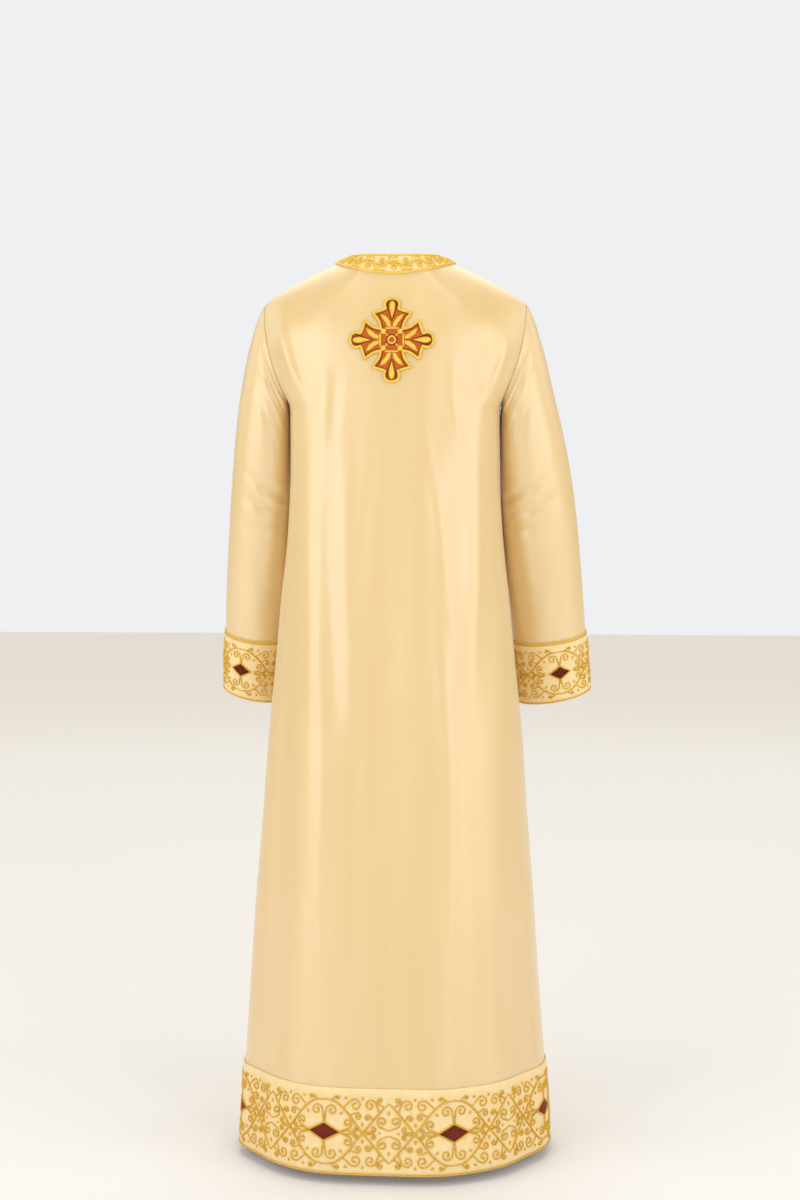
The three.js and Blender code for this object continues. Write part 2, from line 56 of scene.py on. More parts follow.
# %% [markdown]
# ## The camera
#
# The robe is seen from behind, from about chest height and a good three metres away. A camera
# could be tilted down to frame it, but then upright seams lean together. A level camera keeps
# them upright, so the view is lowered with the lens shift.

# %% Camera
CAMERA_AWAY, CAMERA_HEIGHT = 3.6, -0.273  # metres from the shoulders' middle
CAMERA_TURN = math.radians(183)
IMAGE_WIDTH, IMAGE_HEIGHT = 800, 1200
FOCAL_PX = 2196
HORIZON_ROW, AXIS_COLUMN = 430, 395.5  # where the view's level line and the robe's axis fall

camera_data = bpy.data.cameras.new("camera")
camera_data.lens = FOCAL_PX / IMAGE_HEIGHT * camera_data.sensor_width
camera_data.shift_x = (IMAGE_WIDTH / 2 - AXIS_COLUMN) / IMAGE_HEIGHT
camera_data.shift_y = (HORIZON_ROW - IMAGE_HEIGHT / 2) / IMAGE_HEIGHT
camera = bpy.data.objects.new("camera", camera_data)
bpy.context.scene.collection.objects.link(camera)
away = Vector((math.sin(CAMERA_TURN), -math.cos(CAMERA_TURN), 0)) * CAMERA_AWAY
camera.location = away + Vector((0, 0, CAMERA_HEIGHT))
camera.rotation_euler = (math.radians(90), 0, CAMERA_TURN)
bpy.context.scene.camera = camera
bpy.context.scene.view_settings.view_transform = "Standard"
print("lens", round(camera_data.lens, 1), "mm")

# %% [markdown]
# ## Tables that set the form
#
# A worn robe has no simple shape, but it can be cut into level sections, as a ship's hull is.
# It could be sculpted, but a sculpture can't be read or corrected by the millimetre. So each
# row of a table below is one section, and a smooth curve through the rows gives every level
# between. The same rows shape the solids, so the cloth lies where its solid is.

# %% A table that can be read between its rows
class Table:
    """Rows of numbers under named columns, read along a smooth curve through the rows.

    The first column is the key. It may rise or fall, and reading outside it gives the end row.
    """

    def __init__(self, columns, rows):
        rows = np.array(rows, float)
        if rows[0, 0] > rows[-1, 0]:
            rows = rows[::-1]
        self.columns, self.rows, self.key = columns.split(), rows, rows[:, 0]

    def at(self, column, value):
        y, x = self.rows[:, self.columns.index(column)], self.key
        value = np.asarray(value, float)
        i = np.clip(np.searchsorted(x, value) - 1, 0, len(x) - 2)
        row = np.arange(len(x))
        low, high = np.maximum(row - 1, 0), np.minimum(row + 1, len(x) - 1)
        slope = (y[high] - y[low]) / (x[high] - x[low])
        span = x[i + 1] - x[i]
        t = np.clip((value - x[i]) / span, 0, 1)
        start = (1 + 2 * t) * (1 - t) ** 2 * y[i] + t * (1 - t) ** 2 * span * slope[i]
        return start + t * t * (3 - 2 * t) * y[i + 1] + t * t * (t - 1) * span * slope[i + 1]


def bell(distance, half):
    """1 at a distance of 0, and nearly gone at twice the half width."""
    return np.exp(-((distance / half) ** 2))


def ramp(value, start, end):
    """0 up to the start, 1 from the end on, and a soft rise between."""
    t = np.clip((value - start) / (end - start), 0, 1)
    return t * t * (3 - 2 * t)


print("half way up a rise from 0 to 10:", ramp(5.0, 0, 10))

# %% Sections of the body, the shoulder line and the armhole
# Heights are below the shoulders' middle, and square says how boxy a section is: 2 is an oval.
CHEST_Z, UNDERARM_Z, SHOULDER_TIP_X = -300, -233, 214.5
HEM_Z, HEM_BAND_TOP_Z, HEM_STRIP_Z = -1428, -1296.5, -1310
NECK = {"half_width": 71.5, "back_z": 9.5, "front_z": -88}
NECKBAND = {"half_width": 98.5, "back_z": -23, "front_z": -122}

SECTIONS = Table("z half_width back front square", [
    (60, 222, 66, 56, 2.5), (10, 222, 71, 60, 2.5), (-20, 222, 79, 68, 2.5),
    (-60, 222, 94, 84, 2.5), (-105, 219.5, 108, 100, 2.5), (-143, 214.5, 115, 113, 2.5),
    (-173, 206, 118, 120, 2.5), (-199, 193, 119, 124, 2.6), (-216, 182.5, 119, 125, 2.7),
    (-233, 172.5, 119, 126, 2.95), (-260, 171, 119, 127, 3.1), (-300, 170.5, 119, 127, 3.1),
    (-355, 171, 120, 127, 3.0), (-455, 176.5, 123, 129, 2.8), (-550, 186.5, 129, 133, 2.65),
    (-657, 196, 137, 141, 2.5), (-765, 207, 146, 149, 2.4), (-896, 215.5, 158, 160, 2.35),
    (-1027, 225.5, 170, 171, 2.3), (-1158, 233.5, 181, 182, 2.2), (-1289, 243, 192, 193, 2.15),
    (-1428, 250.5, 204, 204, 2.12),
])
SHOULDER = Table("x z back_round front_round", [
    (0, 42, 45, 55), (40, 32, 48, 60), (71.5, 10.5, 60, 75), (98.5, -2, 80, 95),
    (125, -14.5, 100, 112), (150, -27, 110, 120), (188.5, -48, 115, 125), (214.5, -68, 115, 125),
    (240, -92, 115, 125),
])
ARMHOLE = Table("z x", [
    (-68, 214.5), (-86, 213.6), (-105, 212), (-143, 205), (-173, 196), (-199, 186),
    (-216, 179), (-228, 174.5), (-233, 172.5),
])

print("sections:", len(SECTIONS.rows), "from", HEM_Z, "up")

# %% Places on the form
FALL_FINE = 40  # below this fall from the shoulder line, rows crowd closer together
FIRST_X, GUESSES = 100.0, 30  # where the search for a place starts, and how often it halves


def shoulder_z(x):
    return SHOULDER.at("z", np.abs(x))


def form_y(x, z, side):
    """How far the form stands out to the back or the front at x, z."""
    square = SECTIONS.at("square", z)
    share = np.clip(1 - (np.abs(x) / SECTIONS.at("half_width", z)) ** square, 0, 1)
    drop = np.clip((shoulder_z(x) - z) / SHOULDER.at(side + "_round", np.abs(x)), 0, 1)
    return SECTIONS.at(side, z) * share ** (1 / square) * np.sqrt(1 - (1 - drop) ** 2)


def turn_of(x, z):
    """Angle round the section: 0 at the side seam, a quarter turn at the centre."""
    share = np.clip(np.abs(x) / SECTIONS.at("half_width", z), 0, 1)
    return np.arccos(share ** (SECTIONS.at("square", z) / 2))


def place_of(turn, fall):
    """The x and z of a point that lies at an angle and at a fall below the shoulder line."""
    x = np.full(np.shape(turn), FIRST_X)
    for _ in range(GUESSES):
        z = shoulder_z(x) - fall
        wide = SECTIONS.at("half_width", z) * np.cos(turn) ** (2 / SECTIONS.at("square", z))
        x = (x + wide) / 2
    return x, shoulder_z(x) - fall


print("height of the shoulder 150 mm out:", round(float(shoulder_z(150.0)), 1), "mm")

# %% [markdown]
# ## Grids for the panels
#
# A panel is cut from flat cloth with a neckline, a shoulder seam, an armhole and a side seam.
# Its mesh could be trimmed out of a whole tube with booleans, which leave ragged edges. Here a
# panel is a grid of points whose edges follow those seams from the start. The rows between are
# blended from the edges, so no row ever crosses a seam.

# %% Even spacing along a curve
def evenly(points, count):
    """count steps of equal length along a line of points."""
    points = np.asarray(points, float)
    length = np.concatenate([[0], np.cumsum(np.linalg.norm(np.diff(points, axis=0), axis=1))])
    want = np.linspace(0, length[-1], count + 1)
    return np.stack([np.interp(want, length, points[:, k]) for k in range(3)], 1)


print("middle of a line of 4 mm:", evenly([(0, 0, 0), (1, 0, 0), (4, 0, 0)], 2)[1])

# %% Half a panel
HALF_COLUMNS, NECK_ROWS, SHOULDER_ROWS, ARMHOLE_ROWS = 52, 8, 18, 33
UNDERARM_ROWS, SKIRT_ROWS, STRIP_ROWS, HEM_ROWS = 10, 118, 8, 14
FINE = np.linspace(0, 1, 400)


def side_edge(side):
    x = NECKBAND["half_width"] + FINE * (SHOULDER_TIP_X - NECKBAND["half_width"])
    shoulder = evenly(np.stack([x, 0 * x, shoulder_z(x)], 1), SHOULDER_ROWS)
    z = ARMHOLE.key[-1] + (1 - (1 - FINE) ** 2) * (ARMHOLE.key[0] - ARMHOLE.key[-1])
    x = ARMHOLE.at("x", z)
    y = form_y(x, z, side)
    y[-1] = 0
    armhole = evenly(np.stack([x, y, z], 1), ARMHOLE_ROWS)
    z = UNDERARM_Z + FINE * (CHEST_Z - UNDERARM_Z)
    seam = evenly(np.stack([SECTIONS.at("half_width", z), 0 * z, z], 1), UNDERARM_ROWS)
    return np.concatenate([shoulder, armhole[1:], seam[1:]])


def coordinates(x, z):
    fall = np.maximum(shoulder_z(x) - z, 0)
    return np.stack([turn_of(x, z), (fall + np.sqrt(fall * fall + 4 * FALL_FINE * fall)) / 2])


def half_panel(side):
    """Rows of points of half a panel, each from the seam in to the middle."""
    turns = np.linspace(0, math.pi / 2, HALF_COLUMNS + 1)
    rows = []
    for share in np.linspace(0, 1, NECK_ROWS + 1):
        edge = {key: NECK[key] + share * (NECKBAND[key] - NECK[key]) for key in NECK}
        end = shoulder_z(edge["half_width"])
        x = edge["half_width"] * np.cos(turns)
        z = end + (edge[side + "_z"] - end) * np.sin(turns) ** 2
        y = form_y(x, z, side)
        y[0] = 0
        rows.append(np.stack([x, y, z], 1))

    edge = side_edge(side)
    steps = len(edge) - 1
    top = coordinates(rows[-1][:, 0], rows[-1][:, 2])
    half = SECTIONS.at("half_width", CHEST_Z) * np.cos(turns) ** (2 / SECTIONS.at("square", CHEST_Z))
    bottom = coordinates(half, np.full_like(half, CHEST_Z))
    s = turns / turns[-1]
    for r in range(1, steps + 1):
        t = r / steps
        left = coordinates(edge[r, 0], edge[r, 2])[:, None]
        middle = coordinates(0, rows[NECK_ROWS][-1, 2] * (1 - t) + CHEST_Z * t)[:, None]
        across = (1 - s) * left + s * middle
        upper = top - (1 - s) * top[:, :1] - s * top[:, -1:]
        lower = bottom - (1 - s) * bottom[:, :1] - s * bottom[:, -1:]
        turn, scale = across + (1 - t) * upper + t * lower
        turn[-1] = math.pi / 2
        x, z = place_of(turn, scale * scale / (scale + FALL_FINE))
        row = np.stack([x, form_y(x, z, side), z], 1)
        row[0] = edge[r]
        rows.append(row)

    skirt = np.linspace(CHEST_Z, HEM_BAND_TOP_Z, SKIRT_ROWS + 1)[1:]
    strip = np.linspace(HEM_BAND_TOP_Z, HEM_STRIP_Z, STRIP_ROWS + 1)[1:]
    for z in [*skirt, *strip, *np.linspace(HEM_STRIP_Z, HEM_Z, HEM_ROWS + 1)[1:]]:
        power = 2 / SECTIONS.at("square", z)
        x = SECTIONS.at("half_width", z) * np.cos(turns) ** power
        y = SECTIONS.at(side, z) * np.sin(turns) ** power
        rows.append(np.stack([x, y, np.full_like(x, z)], 1))
    return np.array(rows)


print("half of the back, as rows and columns:", half_panel("back").shape[:2])

# %% [markdown]
# ## Broad folds of the body
#
# Satin hung from the shoulders stands in wide, shallow columns. A wave modifier would space
# them evenly, which cloth never does. So each is a bell-shaped ridge or trough of its own, at
# some angle round the body, that fades in below the shoulder blades.

# %% Broad folds
# at and half are degrees round from the left side seam through the back; drift is degrees a metre
FOLDS = [  # at, drift, half, height, begins at z, full at z
    (90, 0, 17, -4, -120, -420), (59, 2, 13, 5, -180, -700), (119, -10, 12, 5, -180, -700),
    (34, -3, 9, -4, -330, -900), (148, 2, 13, -10, -330, -1200), (15, 0, 8, 4, -600, -1200),
    (270, 2, 15, -5, -160, -500), (238, 5, 12, 6, -220, -900), (303, -4, 13, 6, -220, -900),
    (212, 2, 9, -6, -330, -900), (328, -2, 10, -5, -330, -900),
]
CRESCENTS = {  # arm, distance in from the seam, half width, height, from z, to z
    "back": [(1, 33, 13, 6, -90, -225), (-1, 30, 12, 5, -110, -230)],
    "front": [(1, 32, 13, 5, -100, -225), (-1, 34, 13, 6, -100, -225)],
}


def fold_height(side, x, z):
    """Height of the broad folds at x, z, with the crescents of slack beside the armholes."""
    quarter = np.degrees(turn_of(x, z))
    angle = np.where(x >= 0, quarter, 180 - quarter)
    if side == "front":
        angle = 360 - angle
    height = np.zeros_like(x)
    for at, drift, half, tall, begins, full in FOLDS:
        centre = at + drift * (begins - z) / 1000
        height += tall * bell(angle - centre, half) * ramp(z, begins, full)
    seam = np.where(z < UNDERARM_Z, ARMHOLE.rows[0, 1], ARMHOLE.at("x", z))
    for arm, inward, half, tall, top, low in CRESCENTS[side]:
        window = bell(z - (top + low) / 2, abs(low - top) / 2.2) * (arm * x > 0)
        height += tall * bell(seam - np.abs(x) - inward, half) * window
    return height


def whole_panel(side):
    """Rows of points from seam to seam: the back from +X to -X, the front from -X to +X."""
    half = half_panel(side)
    out = 1 if side == "back" else -1
    rows = np.concatenate([half * (out, out, 1), half[:, -2::-1] * (-out, out, 1)], 1)
    x, y, z = rows[..., 0], rows[..., 1], rows[..., 2]
    power = SECTIONS.at("square", z) - 1
    wide, deep = SECTIONS.at("half_width", z), SECTIONS.at(side, z)
    nx, ny = (np.abs(x) / wide) ** power / wide, (np.abs(y) / deep) ** power / deep
    length = np.maximum(np.hypot(nx, ny), 1e-9)
    height = fold_height(side, x, z)
    rows[..., 0] += np.sign(x) * height * nx / length
    rows[..., 1] += np.sign(y) * height * ny / length
    return rows


print("folds:", len(FOLDS), "crescents:", {side: len(arcs) for side, arcs in CRESCENTS.items()})

# %% Normals of a grid
def normals_of(rows, closed=False):
    down = np.gradient(rows, axis=0)
    if closed:
        across = np.roll(rows, -1, 1) - np.roll(rows, 1, 1)
    else:
        across = np.gradient(rows, axis=1)
    normal = np.cross(down, across)
    return normal / np.maximum(np.linalg.norm(normal, axis=2, keepdims=True), 1e-12)


print("a normal at the nape:", normals_of(whole_panel("back"))[0, HALF_COLUMNS].round(2))

# %% [markdown]
# ## Creases laid in one by one
#
# Between the broad columns lie narrow creases: drag lines that point at the armholes, breaks at
# the elbows, and small puckers where the stiff hem band gathers the satin. A noise texture
# would crease all of it alike. So each is a stroke with a width and a height that dies out
# towards both ends, as a finger drawn through sand.

# %% Strokes on the panels
PANEL_STROKES = {  # height, half width, then the line as (x, z) seen from behind
    "back": [
        (2.4, 7, [(183, -96), (176, -130), (166, -165), (152, -200), (140, -222)]),
        (-2.2, 6, [(167, -110), (158, -145), (147, -180), (133, -212)]),
        (1.6, 6, [(154, -140), (142, -178), (126, -212), (112, -240)]),
        (2.4, 6, [(-188, -118), (-180, -150), (-168, -185), (-154, -218), (-140, -240)]),
        (-2.0, 6, [(-174, -130), (-163, -168), (-148, -204), (-134, -232)]),
        (1.5, 6, [(-158, -150), (-145, -190), (-128, -226)]),
        (3.0, 17, [(128, -270), (131, -380), (129, -500), (116, -760), (119, -1000), (128, -1270)]),
        (2.4, 14, [(70, -290), (72, -400), (70, -560), (60, -760)]),
        (-2.8, 15, [(100, -280), (101, -420), (98, -560), (88, -760)]),
        (2.8, 16, [(-72, -290), (-70, -420), (-76, -600), (-96, -820), (-98, -1020), (-86, -1270)]),
        (2.4, 14, [(-133, -280), (-135, -420), (-130, -600), (-128, -760)]),
        (-2.8, 15, [(-102, -290), (-104, -420), (-108, -560)]),
        (-2.2, 20, [(4, -240), (8, -500), (2, -800), (-8, -1100)]),
        (2.2, 18, [(30, -640), (26, -900), (34, -1240)]),
        (-2.2, 20, [(170, -560), (176, -800), (186, -1100), (192, -1280)]),
        (2.4, 14, [(-166, -520), (-176, -800), (-182, -1100)]),
        (2.0, 11, [(24, -190), (38, -330), (52, -480), (58, -640)]),
        (2.0, 11, [(-34, -190), (-60, -330), (-86, -480), (-100, -620)]),
        (-1.8, 9, [(84, -170), (92, -230), (96, -310)]),
        (1.8, 9, [(112, -150), (108, -220), (116, -300)]),
        (1.8, 9, [(-100, -150), (-98, -210), (-108, -290)]),
        (1.4, 8, [(96, -40), (120, -80), (136, -130)]),
        (1.4, 8, [(-98, -44), (-124, -90), (-136, -140)]),
    ],
    "front": [
        (2.2, 7, [(-184, -100), (-175, -140), (-160, -185), (-142, -222)]),
        (-2.0, 6, [(-168, -115), (-156, -158), (-138, -205)]),
        (2.2, 7, [(185, -104), (176, -146), (162, -190), (146, -228)]),
        (-2.0, 6, [(169, -120), (158, -160), (142, -208)]),
        (2.0, 17, [(112, -260), (118, -420), (112, -700), (122, -1000), (130, -1270)]),
        (2.0, 17, [(-106, -270), (-112, -430), (-104, -720), (-112, -1000), (-118, -1270)]),
        (-1.8, 16, [(70, -300), (74, -520), (66, -800)]),
        (-1.8, 16, [(-66, -310), (-70, -540), (-62, -820)]),
        (1.6, 18, [(20, -260), (24, -560), (14, -900), (20, -1250)]),
        (-1.6, 18, [(168, -540), (176, -860), (188, -1270)]),
        (-1.6, 18, [(-166, -560), (-176, -880), (-186, -1270)]),
        (1.4, 10, [(-52, -150), (-80, -200), (-96, -270)]),
        (1.4, 10, [(54, -156), (78, -210), (92, -280)]),
    ],
}
PUCKER_TOP, PUCKER_STEP, PUCKER_TALL, PUCKER_HALF = -1248, 19, 2.2, 5
WANDER_TALL, WANDER_SIZE = 0.8, 90
SEAM_COLUMNS = 5  # columns of the grid that stay calm beside a seam
SEEDS = {"back": (7, 3), "front": (8, 4)}  # of the puckers, and of the slow wobble
print("strokes:", {side: len(strokes) for side, strokes in PANEL_STROKES.items()})


# %% Height of the creases
def stroke_height(px, py, points, half):
    """Height of a stroke of 1 at points px, py: a bell across it, dying out at its ends."""
    points = np.asarray(points, float)
    lengths = np.linalg.norm(np.diff(points, axis=0), axis=1)
    done, total = 0, lengths.sum()
    best, share = np.full(px.shape, 1e9), np.zeros(px.shape)
    for (ax, ay), (bx, by), length in zip(points[:-1], points[1:], lengths):
        t = np.clip(((px - ax) * (bx - ax) + (py - ay) * (by - ay)) / length**2, 0, 1)
        gap = np.hypot(px - ax - t * (bx - ax), py - ay - t * (by - ay))
        near = gap < best
        best, share = np.where(near, gap, best), np.where(near, (done + t * length) / total, share)
        done += length
    return bell(best, half) * np.sin(np.pi * np.clip(share, 0, 1)) ** 0.7


def soft_wander(px, py, seed, size, waves=6):
    """A slow, smooth wobble round 0, the same on every run."""
    rng = random.Random(seed)
    total = np.zeros(px.shape)
    for _ in range(waves):
        angle, phase = rng.uniform(0, math.tau), rng.uniform(0, math.tau)
        pitch = size * rng.uniform(0.6, 1.7)
        total += np.sin((px * math.cos(angle) + py * math.sin(angle)) / pitch * math.tau + phase)
    return total / 4


def crease_panel(side, rows):
    """The panel's rows, moved out and in by its strokes, its puckers and a slow wobble."""
    x, z = rows[..., 0], rows[..., 2]
    height = np.zeros(x.shape)
    for tall, half, line in PANEL_STROKES[side]:
        height += tall * stroke_height(x, z, line, half)
    pucker_seed, wander_seed = SEEDS[side]
    rng = random.Random(pucker_seed)
    for x0 in np.arange(-200, 201, PUCKER_STEP):
        centre = x0 + rng.uniform(-6, 6)
        top = (centre, PUCKER_TOP - rng.uniform(0, 12))
        line = [top, (centre + rng.uniform(-3, 3), HEM_BAND_TOP_Z - 4)]
        height += rng.uniform(0.3, 1) * PUCKER_TALL * stroke_height(x, z, line, PUCKER_HALF)
    below_blades = ramp(z, -140, -330)
    height += WANDER_TALL * below_blades * soft_wander(x, z * 0.35, wander_seed, WANDER_SIZE)
    # The cloth lies calm under the bands and along its seams.
    column = np.arange(rows.shape[1])
    height *= np.clip(np.minimum(column, column[::-1]) / SEAM_COLUMNS, 0, 1)
    height *= 1 - ramp(z, HEM_BAND_TOP_Z + 4, HEM_BAND_TOP_Z)
    height[: NECK_ROWS + 3] *= np.clip((np.arange(NECK_ROWS + 3) - NECK_ROWS) / 3, 0, 1)[:, None]
    return rows + normals_of(rows) * height[..., None]


smooth_back = whole_panel("back")
moved = np.abs(crease_panel("back", smooth_back) - smooth_back).max()
print("the creases move the back by up to", round(float(moved), 1), "mm")

# %% Mesh from grids
def new_object(name, points, faces):
    """A smooth mesh from points in millimetres."""
    mesh = bpy.data.meshes.new(name)
    mesh.from_pydata((np.asarray(points) * MM).tolist(), [], faces)
    mesh.update()
    mesh.shade_smooth()
    thing = bpy.data.objects.new(name, mesh)
    bpy.context.scene.collection.objects.link(thing)
    return thing


def shell(name, rows, thickness, closed=False, lift=0.0, normals=None):
    """A thin closed wall under a grid of outer points."""
    normals = normals_of(rows, closed) if normals is None else normals
    outer = rows + normals * lift
    inner = outer - normals * thickness
    count_r, count_c = rows.shape[:2]
    spans = count_c if closed else count_c - 1
    points = np.concatenate([outer.reshape(-1, 3), inner.reshape(-1, 3)])
    under = count_r * count_c
    faces = []
    for r in range(count_r - 1):
        for c in range(spans):
            a, b = r * count_c + c, r * count_c + (c + 1) % count_c
            faces.append((a, a + count_c, b + count_c, b))
            faces.append((under + a, under + b, under + b + count_c, under + a + count_c))
    last = (count_r - 1) * count_c
    for c in range(spans):
        a, b = c, (c + 1) % count_c
        faces.append((a, b, under + b, under + a))
        faces.append((last + a, under + last + a, under + last + b, last + b))
    if not closed:
        for r in range(count_r - 1):
            a, b = r * count_c, (r + 1) * count_c
            faces.append((a, under + a, under + b, b))
            a, b = a + count_c - 1, b + count_c - 1
            faces.append((a, b, under + b, under + a))
    print(name, len(faces), "faces")
    return new_object(name, points, faces)


# %% [markdown]
# ## Materials
#
# Satin is woven so that long warp threads float on the face. It has a broad, streaky highlight
# rather than a sharp one. A plain glossy colour would look like plastic, so a rough coat lies
# over a cloth with some sheen, and slow streaks of yarn vary its tone. Gold work is metal
# thread laid down and stitched over. Each thread's twist is a wave texture, too fine to model.

# %% Helpers for materials
def new_material(name):
    material = bpy.data.materials.new(name)
    material.use_nodes = True
    nodes = material.node_tree.nodes
    return material, nodes, material.node_tree.links, nodes["Principled BSDF"]


def set_sockets(node, values):
    for label, value in values.items():
        node.inputs[label].default_value = value


def maths(nodes, links, operation, a, b=None):
    node = nodes.new("ShaderNodeMath")
    node.operation = operation
    for socket, value in zip(node.inputs, (a, b)):
        if value is None:
            continue
        if isinstance(value, (int, float)):
            socket.default_value = value
        else:
            links.new(value, socket)
    return node.outputs[0]


def between(nodes, links, share, first, second):
    """A colour between two, by a share from another node."""
    node = nodes.new("ShaderNodeMix")
    node.data_type = "RGBA"
    set_sockets(node, {"A": (*first, 1), "B": (*second, 1)})
    links.new(share, node.inputs["Factor"])
    return node.outputs["Result"]


def remap(nodes, links, value, to_low, to_high, from_low=0, from_high=1):
    node = nodes.new("ShaderNodeMapRange")
    set_sockets(node, {"From Min": from_low, "From Max": from_high, "To Min": to_low, "To Max": to_high})
    links.new(value, node.inputs["Value"])
    return node.outputs[0]


def add_bump(nodes, links, shader, height, strength, distance):
    bump = nodes.new("ShaderNodeBump")
    set_sockets(bump, {"Strength": strength, "Distance": distance})
    links.new(height, bump.inputs["Height"])
    links.new(bump.outputs[0], shader.inputs["Normal"])


def shader_group(name, inputs, outputs):
    group = bpy.data.node_groups.new(name, "ShaderNodeTree")
    for label, value in inputs.items():
        socket = group.interface.new_socket(label, in_out="INPUT", socket_type="NodeSocketFloat")
        socket.default_value = value
    for label in outputs:
        group.interface.new_socket(label, in_out="OUTPUT", socket_type="NodeSocketFloat")
    start, end = group.nodes.new("NodeGroupInput"), group.nodes.new("NodeGroupOutput")
    return group, group.nodes, group.links, start, end


def place_group(nodes, group, values):
    node = nodes.new("ShaderNodeGroup")
    node.node_tree = group
    set_sockets(node, values)
    return node


print("node groups so far:", len(bpy.data.node_groups))

# %% Thread and slub effect, shared by every cloth
def make_thread_group():
    """Weave is fine crossed threads. Slub is the slow streak of thicker and thinner yarn."""
    group, nodes, links, start, end = shader_group(
        "thread_and_slub", {"Threads": 900.0, "Slub Size": 60.0, "Slub Stretch": 0.08},
        ["Weave", "Slub"])
    where = nodes.new("ShaderNodeTexCoord").outputs["Object"]
    stretch = nodes.new("ShaderNodeMapping")
    links.new(where, stretch.inputs["Vector"])
    scale = nodes.new("ShaderNodeCombineXYZ")
    scale.inputs[0].default_value = scale.inputs[1].default_value = 1
    links.new(start.outputs["Slub Stretch"], scale.inputs[2])
    links.new(scale.outputs[0], stretch.inputs["Scale"])
    slub = nodes.new("ShaderNodeTexNoise")
    slub.inputs["Detail"].default_value = 3
    links.new(stretch.outputs[0], slub.inputs["Vector"])
    links.new(start.outputs["Slub Size"], slub.inputs["Scale"])
    split = nodes.new("ShaderNodeSeparateXYZ")
    links.new(where, split.inputs[0])
    across = maths(nodes, links, "MULTIPLY", split.outputs[2], start.outputs["Threads"])
    along = maths(nodes, links, "MULTIPLY", split.outputs[0], start.outputs["Threads"])
    ribs = [maths(nodes, links, "SINE", count) for count in (across, along)]
    weave = maths(nodes, links, "ADD", *ribs)
    links.new(maths(nodes, links, "MULTIPLY_ADD", weave, 0.25), end.inputs["Weave"])
    links.new(slub.outputs["Fac"], end.inputs["Slub"])
    return group


THREAD = make_thread_group()
print("effect:", THREAD.name)

# %% Satin
SATIN_DEEP, SATIN_PALE = (0.73, 0.465, 0.13), (0.80, 0.58, 0.24)


def make_satin():
    material, nodes, links, shader = new_material("cream_satin")
    thread = place_group(nodes, THREAD, {"Threads": 2600.0, "Slub Size": 26.0, "Slub Stretch": 0.06})
    weave, slub = thread.outputs["Weave"], thread.outputs["Slub"]
    share = remap(nodes, links, slub, 0.45, 0.95, 0.2, 0.8)
    links.new(between(nodes, links, share, SATIN_DEEP, SATIN_PALE), shader.inputs["Base Color"])
    links.new(remap(nodes, links, slub, 0.40, 0.48), shader.inputs["Roughness"])
    set_sockets(shader, {
        "Specular IOR Level": 1.0, "Specular Tint": (1.0, 0.97, 0.93, 1), "Anisotropic": 0.5,
        "Coat Weight": 1.0, "Coat Roughness": 0.38, "Coat IOR": 2.1,
        "Sheen Weight": 0.4, "Sheen Roughness": 0.45, "Sheen Tint": (1.0, 0.95, 0.88, 1),
    })
    add_bump(nodes, links, shader, maths(nodes, links, "ADD", weave, slub), 0.12, 0.0004)
    return material


SATIN = make_satin()
print("satin:", SATIN.name)


# %% Cream brocade under the embroidery
GROUND_DEEP, GROUND_PALE = (0.86, 0.63, 0.28), (0.94, 0.77, 0.43)


def make_band_ground():
    material, nodes, links, shader = new_material("cream_band_ground")
    thread = place_group(nodes, THREAD, {"Threads": 1800.0, "Slub Size": 90.0, "Slub Stretch": 0.6})
    colour = between(nodes, links, thread.outputs["Slub"], GROUND_DEEP, GROUND_PALE)
    links.new(colour, shader.inputs["Base Color"])
    set_sockets(shader, {"Roughness": 0.55, "Sheen Weight": 0.3, "Sheen Tint": (1.0, 0.92, 0.75, 1)})
    add_bump(nodes, links, shader, thread.outputs["Weave"], 0.25, 0.0005)
    return material


BAND_GROUND = make_band_ground()
print("brocade:", BAND_GROUND.name)


# %% Metal thread and coloured fills
def make_thread_material(name, dark, light, roughness, metallic, twist=1100.0, specular=0.5):
    """Twisted thread: diagonal ribs, lit and shaded between a dark and a light colour."""
    material, nodes, links, shader = new_material(name)
    wave = nodes.new("ShaderNodeTexWave")
    wave.wave_type, wave.bands_direction = "BANDS", "DIAGONAL"
    set_sockets(wave, {"Scale": twist, "Distortion": 2})
    speck = nodes.new("ShaderNodeTexNoise")
    speck.inputs["Scale"].default_value = 420
    where = nodes.new("ShaderNodeTexCoord").outputs["Object"]
    for texture in (wave, speck):
        links.new(where, texture.inputs["Vector"])
    mixed = maths(nodes, links, "MULTIPLY", wave.outputs["Fac"], speck.outputs["Fac"])
    share = maths(nodes, links, "MULTIPLY", mixed, 2.0)
    links.new(between(nodes, links, share, dark, light), shader.inputs["Base Color"])
    set_sockets(shader, {"Roughness": roughness, "Metallic": metallic, "Specular IOR Level": specular})
    add_bump(nodes, links, shader, wave.outputs["Fac"], 0.5, 0.0003)
    return material


GOLD_THREAD = make_thread_material("gold_thread", (0.60, 0.32, 0.015), (0.95, 0.60, 0.06), 0.42, 0.2)
BRIGHT_GOLD = make_thread_material(
    "bright_gold_thread", (0.78, 0.45, 0.03), (1.0, 0.74, 0.12), 0.38, 0.2)
RUST_FILL = make_thread_material(
    "rust_fill", (0.34, 0.05, 0.005), (0.80, 0.19, 0.018), 0.5, 0.2, 700.0, 0.25)
# Dark brown for cords that stand in for the shade beside the cross's raised gold: painted shadow.
SHADOW_BROWN = make_thread_material(
    "painted_shadow_brown", (0.10, 0.018, 0.003), (0.26, 0.045, 0.006), 0.6, 0.0, 700.0, 0.2)
GARNET = make_thread_material(
    "garnet_beads", (0.22, 0.014, 0.004), (0.62, 0.11, 0.03), 0.3, 0.0, 500.0)
GARNET_GROUND = make_thread_material(
    "garnet_ground", (0.02, 0.001, 0.0005), (0.06, 0.004, 0.0015), 0.75, 0.0, 500.0, 0.08)
print("materials:", len(bpy.data.materials))

